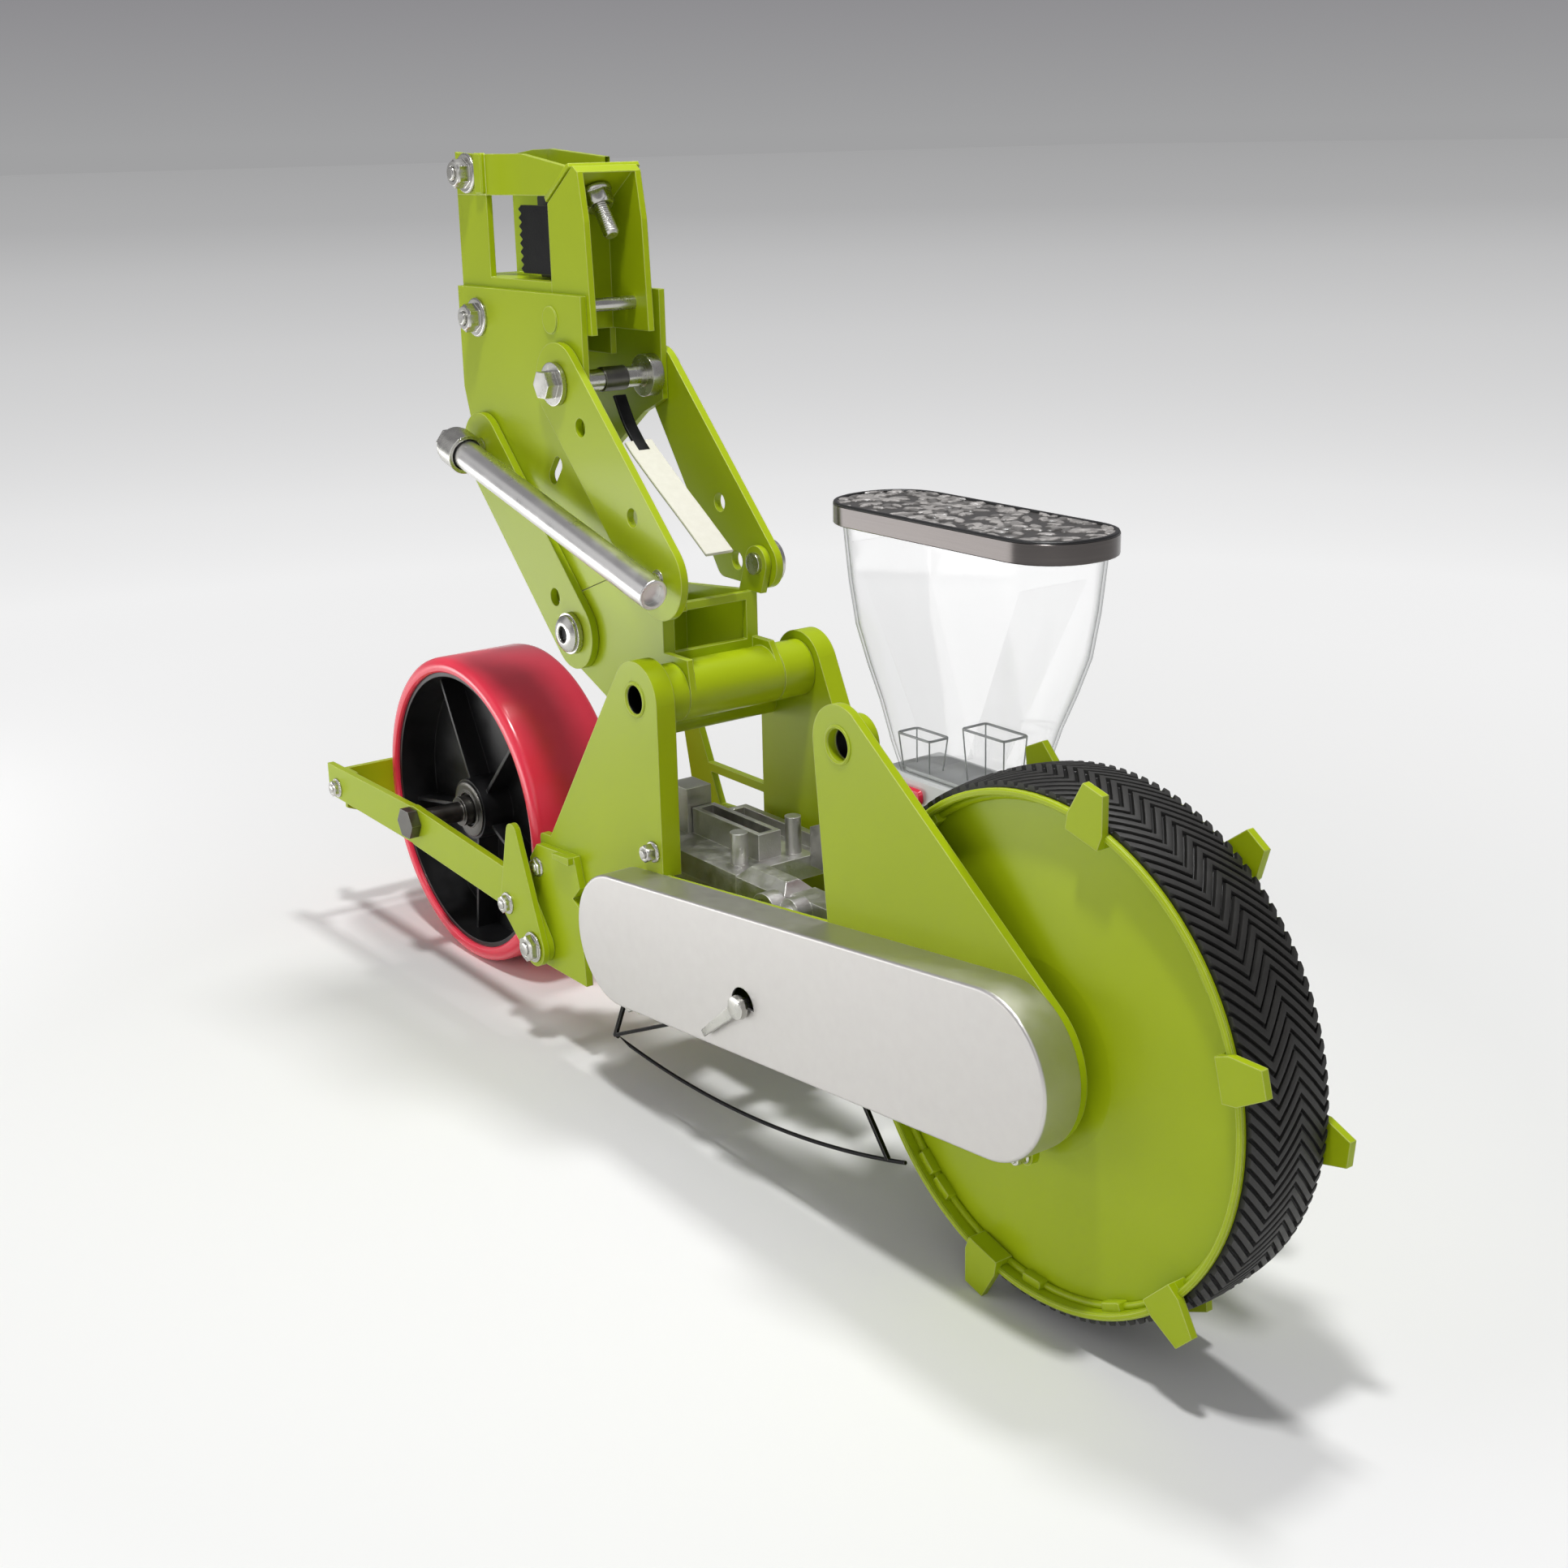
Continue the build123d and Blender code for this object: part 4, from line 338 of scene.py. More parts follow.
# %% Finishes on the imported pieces
finish_of = {**slots, "drive_chain": "dark_steel", "strut_tube": "polished_tube", "press_axle": "turned_steel",
             "link_strap": "pale_web", "hopper_seat": "milky_seat", "strut_collar": "zinc_steel",
             "strut_stop_nut": "zinc_steel"}
for node, thing in nodes.items():
    thing.data.materials.clear()
    thing.data.materials.append(finishes[finish_of[node]])
print("dressed", len(nodes))

# %% [markdown]
# ## Grids into meshes
# Every new piece below is one or more grids of points: rows and columns worked out as whole arrays. One function joins
# neighbouring points with quads, merges the doubled points at seams and poles, turns all faces outwards and marks edges
# over 35 degrees as sharp. The alternative, adding primitives and editing them, would hide the sizes in many steps.

# %% The mesh helper
MM = 0.001
SHARP = math.radians(35)
DOUBLE, SLIVER = 1e-6, 1e-7     # points closer than this are one; edges shorter than this go


def piece(name, grids, body, slot, material=None, stands_for=(), tone=None):
    """Turn grids of points in millimetres into one object that rides on a body; cells of the grids become quads."""
    points, faces, start = [], [], 0
    for grid in grids:
        rows, columns = grid.shape[:2]
        index = start + np.arange(rows * columns).reshape(rows, columns)
        quads = np.stack([index[:-1, :-1], index[1:, :-1], index[1:, 1:], index[:-1, 1:]], axis=-1)
        points.append(grid.reshape(-1, 3) * MM)
        faces.append(quads.reshape(-1, 4))
        start += rows * columns
    mesh = bpy.data.meshes.new(name)
    mesh.from_pydata(np.concatenate(points).tolist(), [], np.concatenate(faces).tolist())
    if tone is not None:
        values = mesh.attributes.new("tone", "FLOAT", "POINT").data
        values.foreach_set("value", np.ascontiguousarray(tone, np.float32).ravel())
    shape = bmesh.new()
    shape.from_mesh(mesh)
    bmesh.ops.remove_doubles(shape, verts=shape.verts, dist=DOUBLE)
    bmesh.ops.dissolve_degenerate(shape, edges=shape.edges, dist=SLIVER)
    bmesh.ops.recalc_face_normals(shape, faces=shape.faces)
    shape.to_mesh(mesh)
    shape.free()
    mesh.shade_smooth()
    mesh.set_sharp_from_angle(angle=SHARP)
    mesh.materials.append(material or finishes[slot])
    thing = bpy.data.objects.new(name, mesh)
    bpy.context.scene.collection.objects.link(thing)
    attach(thing, body)
    if stands_for:
        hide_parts(*stands_for)
    print(name, len(mesh.polygons), "faces")
    return thing


# %% [markdown]
# ## The tyre's tread
# The tyre is a flat rubber band with zigzag ribs, 118 of them around it, 8.9 mm from one to the next. A displacement
# texture could press the pattern into a smooth ring, but needs very many faces to be crisp. Here the columns of the
# grid are bent along the zigzag, so a rib's edge is always a grid line.

# %% Tyre with zigzag ribs
AXLE = np.array([373.064, 177.868])
TYRE_NEAR, TYRE_FAR, TYRE_BED, TYRE_LAND, TYRE_CROWN = -53.0, 9.0, 160.1, 164.0, 3.0
RIB_COUNT, RIB_DEPTH = 118, 3.0
# zigzag of a rib: place across the tyre, and how far round the rib has moved there, both in mm
ZIG_Y = [-53.0, -33.7, -16.3, 4.3, 9.0]
ZIG_ROUND = [0.0, 21.8, 2.1, 25.4, 20.1]
# one rib and groove: place in the pitch, and depth as a share of the groove
GROOVE = np.array([(0.0, 1.0), (0.12, 0.85), (0.22, 0.05), (0.34, 0.0), (0.64, 0.0), (0.78, 0.05), (0.88, 0.85)])


def tyre_grid():
    """Ring of ribs: angle = column + zigzag(y) / radius; radius = crown over the width, less the column's groove."""
    column = np.append((np.arange(RIB_COUNT)[:, None] + GROOVE[:, 0]).ravel(), RIB_COUNT)
    depth = np.append(np.tile(GROOVE[:, 1], RIB_COUNT), 1.0)
    width = np.unique(np.concatenate([np.linspace(a, b, 4) for a, b in zip(ZIG_Y[:-1], ZIG_Y[1:])]))
    swing = np.interp(width, ZIG_Y, ZIG_ROUND)
    middle = (TYRE_NEAR + TYRE_FAR) / 2
    crown = TYRE_LAND + TYRE_CROWN * (1 - ((width - middle) / (TYRE_FAR - middle)) ** 2)
    y = np.concatenate([[TYRE_NEAR], width, [TYRE_FAR, TYRE_NEAR]])
    shift = np.concatenate([swing[:1], swing, swing[-1:], swing[:1]])
    outer = np.concatenate([[TYRE_BED], crown, [TYRE_BED, TYRE_BED]])
    cut = np.concatenate([[0.0], np.ones_like(width), [0.0, 0.0]])
    angle = 2 * np.pi * column[:, None] / RIB_COUNT - shift / TYRE_LAND
    radius = outer - cut * depth[:, None] * RIB_DEPTH
    x, z = AXLE[0] + radius * np.cos(angle), AXLE[1] + radius * np.sin(angle)
    # second value: 1 on a land, 0 in a groove; the rubber uses it for dust and for painted groove shade
    return np.stack([x, np.broadcast_to(y, radius.shape), z], axis=-1), (1 - depth[:, None]) * cut


ring, land_dust_and_groove_shade = tyre_grid()
piece("ribbed_tyre", [ring], "drive_wheel", "tyre_black", tread_rubber, stands_for=["tyre"], tone=land_dust_and_groove_shade)

# %% [markdown]
# ## Round and six-sided pieces
# Bolts, nuts and washers are turned shapes: a profile of radius along a line is carried round an axis. A six-sided head
# could be a prism cut by a cone. It is simpler as the same sweep with the radius held inside a hexagon, because its
# corners are then cut by the turned chamfer as on a real nut.

# %% Turned shapes
def turned(profile, x, z, across=None, steps=48, axis=None):
    """Carry (radius, distance) points round an axis: radius is the smaller of the profile and the hexagon, if given."""
    turn = np.linspace(0, 2 * np.pi, steps + 1)[:, None]
    radius, along = np.asarray(profile, float).T
    radius = np.broadcast_to(radius, (steps + 1, len(radius)))
    if across:
        flat = (turn + np.pi / 6) % (np.pi / 3) - np.pi / 6
        radius = np.minimum(radius, across / 2 / np.cos(flat))
    over, up_by = radius * np.cos(turn), radius * np.sin(turn)
    if axis is None:
        return np.stack([x + over, np.broadcast_to(along, radius.shape), z + up_by], axis=-1)
    origin, side, up, out = axis
    return origin + over[..., None] * side + up_by[..., None] * up + along[None, :, None] * out


def head(across, start, height, x, z, axis=None):
    """Six-sided nut with a turned chamfer, a shallow ring and a rounded bolt end; height is signed along the axis."""
    corner = across / 2 / math.cos(math.pi / 6)
    end = start + height
    cut = 0.16 * height
    shank = 0.27 * across
    profile = [(0, start), (corner, start), (corner, end - cut), (across / 2 * 0.93, end), (shank * 1.12, end),
               (shank, end - 1.5 * cut), (shank, end + 0.9 * cut), (shank * 0.8, end + 1.5 * cut), (0, end + 1.5 * cut)]
    return turned(profile, x, z, across, axis=axis)


def washer(radius, start, thickness, x, z):
    """Flat ring with a broken outer edge; thickness is signed along the axis."""
    edge = 0.35 * thickness
    end = start + thickness
    return turned([(0, start), (radius, start), (radius, end - edge), (radius - abs(edge), end), (0, end)], x, z)


def fastener(x, z, face, way, ring, ring_t, across, height):
    """Washer and nut on one face; way is -1 towards the near side and 1 towards the far side."""
    return [washer(ring, face, way * ring_t, x, z), head(across, face + way * ring_t, way * (height - ring_t), x, z)]


print("points in a nut", head(17.0, 0.0, 5.5, 0.0, 0.0).shape)

# %% [markdown]
# ## Bolts on the frame and on the press wheel arms
# The plates are bolted through spacers, and the arms hang on two pivot bolts. In the CAD a bolt is a plain six-sided
# block, which a bevel would only soften. Each is rebuilt as a washer with a chamfered nut, and bolts that belong
# together are one mesh.

# %% Frame bolts, arm pivots and arm bolts
NEAR_OUT, FAR_OUT = -69.0, 83.0                       # outer faces of the side plates
PIVOT_FACES, BRACKET_FACES = (-87.0, 96.0), (-75.0, 89.0)
ARM_FACES, LEVER_FACE = (-81.5, 95.5), -86.5
# washer radius and thickness, nut across flats, height of both
PLATE_BOLT, COVER_SCREW, SPACER_BOLT = (12.0, 1.5, 17.0, 7.0), (4.5, 2.0, 7.0, 9.0), (8.0, 2.0, 12.0, 9.0)
PIVOT_NUT, BRACKET_NUT, ARM_NUT = (12.5, 1.5, 19.0, 7.4), (8.0, 1.2, 13.0, 4.2), (9.0, 1.5, 13.0, 6.2)
METER = AXLE - (402.0, 42.0)
grids = []
for x, z in ((METER[0] - 62.0, METER[1] - 24.0), (METER[0] + 67.0, METER[1] - 18.0)):
    grids += fastener(x, z, NEAR_OUT, -1, *PLATE_BOLT) + fastener(x, z, FAR_OUT, 1, *PLATE_BOLT)
grids += fastener(AXLE[0] + 8.0, AXLE[1] - 58.0, NEAR_OUT, -1, *COVER_SCREW)
grids += fastener(METER[0] - 16.0, METER[1] - 60.0, NEAR_OUT, -1, *SPACER_BOLT)
grids += fastener(METER[0] + 16.0, METER[1] + 68.0, NEAR_OUT, -1, *SPACER_BOLT)
piece("frame_bolt_heads", grids, "frame", "zinc_steel", stands_for=["frame_bolts"])

ARM_PIVOT, BRACKET_BOLT = (AXLE[0] - 542.0, 86.0), (AXLE[0] - 548.0, 149.0)
ARM_PIN = 8.0
grids = fastener(*ARM_PIVOT, PIVOT_FACES[0], -1, *PIVOT_NUT) + fastener(*ARM_PIVOT, PIVOT_FACES[1], 1, *PIVOT_NUT)
grids += fastener(*BRACKET_BOLT, BRACKET_FACES[0], -1, *BRACKET_NUT)
grids += fastener(*BRACKET_BOLT, BRACKET_FACES[1], 1, *BRACKET_NUT)
for y0, y1 in ((PIVOT_FACES[0], NEAR_OUT), (FAR_OUT, PIVOT_FACES[1])):
    grids.append(turned([(0, y0), (ARM_PIN, y0), (ARM_PIN, y1), (0, y1)], *ARM_PIVOT))
piece("arm_pivot_nuts", grids, "frame", "zinc_steel", stands_for=["arm_pivot_bolts"])

ARM_BOLT, LEVER_BOLT = (AXLE[0] - 906.0, 129.5), (AXLE[0] - 580.0, 112.0)
grids = fastener(*ARM_BOLT, ARM_FACES[0], -1, *ARM_NUT) + fastener(*ARM_BOLT, ARM_FACES[1], 1, *ARM_NUT)
grids += fastener(*LEVER_BOLT, LEVER_FACE, -1, *ARM_NUT)
piece("press_arm_nuts", grids, "press_arms", "zinc_steel", stands_for=["press_arm_bolts"])

# %% [markdown]
# ## Bolts of the toolbar head
# Two long bolts cross the head, each with a broad flange washer. A threaded stud stands on the sloped plate at the top
# and carries the nut that draws the jaw tight. A true thread is a screw line; a row of ridges on the stud's profile
# gives rings instead, which the eye can't tell apart at this size and which close neatly.

# %% Head bolts, stud and nut
HEAD_NEAR, HEAD_FAR, HEAD_BRACKET = -30.0, 24.0, (-35.0, 49.0)     # faces of the head and of its bracket
UPPER_BOLT, LOWER_BOLT, TIE = (AXLE[0] - 676.0, 673.0), (AXLE[0] - 664.0, 565.0), (AXLE[0] - 522.0, 580.0)
NEAR_FLANGE_NUT, FAR_FLANGE_NUT = (15.0, 3.0, 19.0, 13.0), (15.0, 3.0, 19.0, 11.0)
SLOPE = math.radians(35.0)
STUD = np.array([AXLE[0] - 537.16, -3.0, 665.2])
up_slope = np.array([math.cos(SLOPE), 0.0, math.sin(SLOPE)])
off_slope = np.array([-math.sin(SLOPE), 0.0, math.cos(SLOPE)])
stud_axis = (STUD, np.array([0.0, 1.0, 0.0]), up_slope, off_slope)
THREAD_PITCH, THREAD_DEPTH, STUD_R, STUD_TOP, STUD_TIP = 1.75, 0.75, 6.0, 5.5, -44.0
grids = []
for bolt, near_face, far_face in ((UPPER_BOLT, HEAD_NEAR, HEAD_FAR), (LOWER_BOLT, *HEAD_BRACKET)):
    grids += fastener(*bolt, near_face, -1, *NEAR_FLANGE_NUT) + fastener(*bolt, far_face, 1, *FAR_FLANGE_NUT)
# spacer on the lower bolt, and the tie rod of the head
grids.append(turned([(0, HEAD_FAR), (12, HEAD_FAR), (12, 44), (0, 44)], *LOWER_BOLT))
grids.append(turned([(0, -25), (5, -25), (5, 19), (0, 19)], *TIE))
along = np.arange(STUD_TOP, STUD_TIP + 2, -THREAD_PITCH / 2)
ridge = np.where(np.arange(len(along)) % 2, STUD_R - THREAD_DEPTH, STUD_R)
profile = [(0, STUD_TOP), *zip(ridge, along), (STUD_R - 2 * THREAD_DEPTH, STUD_TIP), (0, STUD_TIP)]
grids.append(turned(profile, 0, 0, steps=28, axis=stud_axis))
grids.append(head(19.0, STUD_TOP, 5.0, 0, 0, axis=stud_axis))
piece("head_bolt_set", grids, "head", "zinc_steel", stands_for=["clamp_bolts"])

NUT_BORE, NUT_ACROSS = 6.2, 20.0
flange = turned([(NUT_BORE, -7), (12.5, -7), (12.5, -8.8), (11.6, -10), (NUT_BORE, -10), (NUT_BORE, -7)], 0, 0,
                axis=stud_axis)
barrel = turned([(NUT_BORE, -10), (11.55, -10), (11.55, -18.2), (9.4, -20), (7.0, -20), (NUT_BORE, -19),
                 (NUT_BORE, -10)], 0, 0, NUT_ACROSS, axis=stud_axis)
piece("stud_nut", [flange, barrel], "nut", "zinc_steel", stands_for=["clamp_nut"])

# %% [markdown]
# ## Rounded boxes and lofts
# The lid, the hopper, its spouts and the latch have rounded rectangles as their sections. A cube with a bevel would do
# for one box, but not for a shape that swells or tapers. One function gives the outline of a section, and one carries a
# row of sections along a line. A section of no size closes an end.

# %% Lofted shapes
def rounded(width, depth, corner, steps=8):
    """Outline of a rectangle with round corners: four quarter circles about the corner centres, closed."""
    quarter = np.arange(4)[:, None] * np.pi / 2
    turn = quarter + np.linspace(0, np.pi / 2, steps + 1)
    middle = quarter + np.pi / 4
    x = np.sign(np.cos(middle)) * (width / 2 - corner) + corner * np.cos(turn)
    y = np.sign(np.sin(middle)) * (depth / 2 - corner) + corner * np.sin(turn)
    outline = np.stack([x.ravel(), y.ravel()], axis=-1)
    return np.concatenate([outline, outline[:1]])


def loft(sections, places, side, up):
    """Carry sections (width, depth, corner) along places: point = place + across * side + over * up."""
    rings = np.stack([rounded(*section) for section in sections])
    spread = rings[..., :1] * np.asarray(side, float) + rings[..., 1:] * np.asarray(up, float)
    return np.asarray(places, float)[:, None] + spread


def stacked(levels, x, y):
    """Upright loft: levels are (width, depth, corner, height)."""
    return loft([part[:3] for part in levels], [(x, y, part[3]) for part in levels], (1, 0, 0), (0, 1, 0))


CLOSED = (0, 0, 0)
print("points in an outline", len(rounded(2.0, 1.0, 0.2)))

# %% [markdown]
# ## Lid of the hopper
# The lid is a pressed band with a board set into its top. A thin black bead seals the gap between them. A box with a
# bevel would have no hollow underneath, so both are lofts of the lid's outline, each level drawn in by its own inset.

# %% Lid band and bead
HOPPER_X, HOPPER_Y = AXLE[0] - 177.5, 49.0
LID_LONG, LID_WIDE, LID_ROUND, LID_LOW, LID_SEAT, LID_TOP = 232.0, 82.0, 38.0, 448.0, 452.4, 463.0
LID_WALL, LID_EDGE = 3.5, 0.5


def lid_outline(inset, z):
    """Level of a loft: the lid's outline drawn in by an inset, at a height."""
    return LID_LONG - 2 * inset, LID_WIDE - 2 * inset, LID_ROUND - inset, z


band = stacked([(*CLOSED, LID_SEAT), lid_outline(LID_WALL, LID_SEAT), lid_outline(LID_WALL, LID_LOW),
                lid_outline(LID_EDGE, LID_LOW), lid_outline(0, LID_LOW + 0.6), lid_outline(0, LID_TOP - 2.2),
                lid_outline(LID_EDGE, LID_TOP - 1.7), (*CLOSED, LID_TOP - 1.7)], HOPPER_X, HOPPER_Y)
piece("lid_band", [band], "lid", "lid_grey", stands_for=["hopper_lid"])
turn = np.linspace(0, 2 * np.pi, 9)
bead = stacked([lid_outline(2 - 1.9 * a, LID_TOP - 1.5 + 1.4 * b) for a, b in zip(np.cos(turn), np.sin(turn))],
               HOPPER_X, HOPPER_Y)
piece("lid_bead", [bead], "lid", "black_plastic")

# %% [markdown]
# ## Flaked board
# On the board lie hundreds of stone flakes, each a flat oval at a random turn. They could be scattered as separate
# meshes, but then they would cut through each other. Here the board is one grid, and its height is that of the highest
# flake over each point. A Solidify modifier gives the sheet its thickness.

# %% Board with flakes
FLAKE_COUNT, FLAKE_SEED = 300, 11
FLAKE_LONG, FLAKE_WIDE, FLAKE_TONES = (4.5, 8.0), (2.2, 3.6), [0.25, 0.55, 0.8, 1.0]
BOARD_INSET, BOARD_T, BOARD_ROWS, BOARD_COLUMNS = 2.4, 0.8, 101, 291


def lid_board():
    """Grid: x = u * half length at y; height = highest flake, 1 - oval distance cut flat; tone fades at its edge."""
    draw = np.random.default_rng(FLAKE_SEED)
    corner = LID_ROUND - BOARD_INSET
    across = np.linspace(-1, 1, BOARD_ROWS) * (LID_WIDE / 2 - BOARD_INSET)
    beyond = np.clip(np.abs(across) - (LID_WIDE - LID_ROUND * 2) / 2, 0, corner)
    half = (LID_LONG - 2 * LID_ROUND) / 2 + np.sqrt(corner ** 2 - beyond ** 2)
    x = np.linspace(-1, 1, BOARD_COLUMNS) * half[:, None]
    y = np.broadcast_to(across[:, None], x.shape)
    where = draw.uniform(-1, 1, (FLAKE_COUNT, 2)) * (LID_LONG / 2, LID_WIDE / 2)
    turn, tone = draw.uniform(0, np.pi, FLAKE_COUNT), draw.choice(FLAKE_TONES, FLAKE_COUNT)
    long, wide = draw.uniform(*FLAKE_LONG, FLAKE_COUNT), draw.uniform(*FLAKE_WIDE, FLAKE_COUNT)
    dx, dy = x[..., None] - where[:, 0], y[..., None] - where[:, 1]
    lengthwise, crosswise = dx * np.cos(turn) + dy * np.sin(turn), dy * np.cos(turn) - dx * np.sin(turn)
    oval = (lengthwise / long) ** 2 + (crosswise / wide) ** 2
    rise = np.clip(2.2 * (1 - oval), 0, 1) * (0.5 + 0.7 * draw.uniform(0, 1, FLAKE_COUNT))
    best = rise.argmax(-1)
    high = np.take_along_axis(rise, best[..., None], -1)[..., 0]
    near = np.take_along_axis(oval, best[..., None], -1)[..., 0]
    tones = tone[best] * np.clip(7 * (0.9 - near), 0, 1)
    return np.stack([HOPPER_X + x, HOPPER_Y + y, LID_TOP - 1.6 + high], axis=-1), tones


grid, tones = lid_board()
board_piece = piece("lid_board", [grid], "lid", "lid_grey", flecked, tone=tones)
thick = board_piece.modifiers.new("thickness", "SOLIDIFY")
thick.thickness, thick.offset = BOARD_T * MM, -1.0

# %% [markdown]
# ## Hopper and slides
# The hopper is one blown shell, wide at the rim and drawn in towards its foot. A single surface with a Solidify
# modifier would do, but a loft that goes up outside, over the rim and down inside keeps the wall even at the foot. Two
# slides inside steer the seed to the middle.

# %% Clear hopper and slides
HOPPER_WALL = 2.0
# width, depth, corner and height
HOPPER_LEVELS = [(101.0, 44.0, 10.0, 284.0), (120.0, 49.0, 13.0, 304.0), (143.0, 54.0, 18.0, 330.0),
                 (168.0, 58.5, 21.0, 354.0), (191.0, 62.0, 23.0, 380.0), (203.0, 66.0, 25.0, 410.0),
                 (210.0, 68.6, 26.4, 438.0), (213.0, 70.0, 27.0, 452.0)]
inside = [(w - 2 * HOPPER_WALL, d - 2 * HOPPER_WALL, r - HOPPER_WALL, z) for w, d, r, z in HOPPER_LEVELS[::-1]]
shell = stacked(HOPPER_LEVELS + inside + HOPPER_LEVELS[:1], HOPPER_X, HOPPER_Y)
piece("clear_hopper", [shell], "frame", "clear_plastic", stands_for=["hopper"])

SLIDE_FOOT, SLIDE_T, SLIDE_FOOT_DEPTH = 292.0, 1.2, 36.0
grids = []
for top_x, top_z, foot_x, depth in ((-86.0, 436.0, -16.0, 58.0), (78.0, 428.0, 14.0, 56.0)):
    lean = np.array([top_x - foot_x, 0.0, top_z - SLIDE_FOOT])
    lean /= np.linalg.norm(lean)
    foot, top = (HOPPER_X + foot_x, HOPPER_Y, SLIDE_FOOT), (HOPPER_X + top_x, HOPPER_Y, top_z)
    grids.append(loft([CLOSED, (SLIDE_T, SLIDE_FOOT_DEPTH, 0.5), (SLIDE_T, depth, 0.5), CLOSED],
                      [foot, foot, top, top], (lean[2], 0.0, -lean[0]), (0, 1, 0)))
piece("hopper_slides", grids, "frame", "clear_plastic")

# %% [markdown]
# ## Spouts, floor plate and seed window
# Two square spouts stand in the foot on a milky plate. Of such clear cups only the edges show, so each is a rim and
# four upright seams; whole walls would add faces that nobody sees. A red window in the seat shows the seed.

# %% Spouts, plate and window
SPOUTS = [(164.0, 36.0, 287.5, 311.0, 32.0, 16.0), (222.0, 48.0, 287.5, 323.0, 40.0, 20.0)]
SEAM = (0.9, 0.9, 0.3)
edges = []
for x, y, low, high, wide, deep in SPOUTS:
    inner, outer = (wide, deep, 2.4), (wide + 2, deep + 2, 3.4)
    under, over = high - 1.0, high + 0.4
    edges.append(stacked([(*inner, under), (*outer, under), (*outer, over), (*inner, over), (*inner, under)], x, y))
    for side, back in ((-1, -1), (1, -1), (1, 1), (-1, 1)):
        foot = (x + side * (wide - 5) / 2, y + back * (deep / 2 - 2), low)
        top = (x + side * wide / 2, y + back * deep / 2, high)
        edges.append(loft([CLOSED, SEAM, SEAM, CLOSED], [foot, foot, top, top], (1, 0, 0), (0, 1, 0)))
piece("hopper_spouts", edges, "frame", "clear_plastic", finishes["cut_edge"])
PLATE, PLATE_LOW, PLATE_HIGH = (95, 38, 8), 284.3, 287.0
plate = stacked([(*CLOSED, PLATE_LOW), (*PLATE, PLATE_LOW), (*PLATE, PLATE_HIGH), (*CLOSED, PLATE_HIGH)],
                HOPPER_X, HOPPER_Y)
piece("spout_plate", [plate], "frame", "clear_plastic", finishes["milky_seat"])
WINDOW_X, WINDOW_Z = 167, 274
window = loft([CLOSED, (30, 7, 3), (34, 11, 4), (31, 9, 4), CLOSED],
              [(WINDOW_X, y, WINDOW_Z) for y in (21, 21, 19, 16.5, 16)], (1, 0, 0), (0, 0, 1))
piece("seed_window", [window], "frame", "red_plastic")

# %% [markdown]
# ## Press wheel
# The tread is a cast red ring with a crowned face and rounded shoulders, bonded to a black hub. A ring seal closes the
# bearing at each end of the boss. Both are turned: a torus would have the wrong section, a profile has the right one.

# %% Press wheel tread and seals
PRESS = (AXLE[0] - 751.0, 136.0)
WHEEL_STEPS = 160
tread = np.array([(123, -35), (124.5, -36.6), (127, -37), (130, -36.8), (133, -35.4), (135.2, -33), (136, -29.5),
                  (136, 7), (136, 43.5), (135.2, 47), (133, 49.4), (130, 50.8), (127, 51), (124.5, 50.6), (123, 49),
                  (123, -35)])
piece("press_tread_cast", [turned(tread, *PRESS, steps=WHEEL_STEPS)], "press_wheel", "red_plastic",
      stands_for=["press_tread"])
SEAL = np.array([(15.5, 0), (24, 0), (24.5, 1.2), (22.5, 2.2), (17, 1.4), (15.5, 2.4), (15.5, 0)])
seals = [turned(SEAL * (1, way) + (0, y), *PRESS) for y, way in ((-27.0, -1), (41.0, 1))]
piece("boss_seals", seals, "press_wheel", "zinc_steel", finishes["turned_steel"])

# %% [markdown]
# ## Rim of the drive wheel
# The dish of the wheel sits in a rolled rim with a rounded bead on its inside. Small spring clips, pressed from the
# same sheet, hold the bead at a few places. An array modifier would space the clips evenly, which these are not, so
# each is a short loft along the wheel's radius at its own angle. The bead and the lip are turned.

# %% Rim bead and clips
BEAD_AT, BEAD_Y, BEAD_R = 154.4, -47.0, 2.4
CLIP_AT, CLIP_ANGLES = 153.4, [-132.0, -125.0, -91.2, -65.3, 35.0, 80.0, 130.0, 172.0]
turn = np.linspace(0, 2 * np.pi, 13)
bead = np.stack([BEAD_AT + BEAD_R * np.cos(turn), BEAD_Y + BEAD_R * np.sin(turn)], axis=-1)
lip = [(159.9, -54.6), (160.2, -56.0), (159.0, -57.0), (156.8, -57.0), (155.9, -56.0), (155.9, -54.6), (159.9, -54.6)]
rings = [turned(section, *AXLE, steps=WHEEL_STEPS) for section in (bead, lip)]
piece("rim_bead", rings, "drive_wheel", "green_paint")
grids = []
for angle in np.radians(CLIP_ANGLES):
    out = np.array([math.cos(angle), 0.0, math.sin(angle)])
    tangent = np.array([-math.sin(angle), 0.0, math.cos(angle)])
    seat = np.array([AXLE[0], 0.0, AXLE[1]]) + CLIP_AT * out
    path = [seat + (0, y, 0) for y in (-44.5, -44.5, -49.5, -52.0, -52.6)]
    grids.append(loft([CLOSED, (17, 5, 1), (17, 6.4, 1.4), (15, 5.4, 1.4), CLOSED], path, tangent, out))
piece("rim_clips", grids, "drive_wheel", "green_paint")

# %% [markdown]
# ## Cover latch
# A cast lever holds the chain cover: a round boss with a thin tapered handle. A stretched cone would be too regular, so
# the handle is a loft whose section shrinks towards the tip.

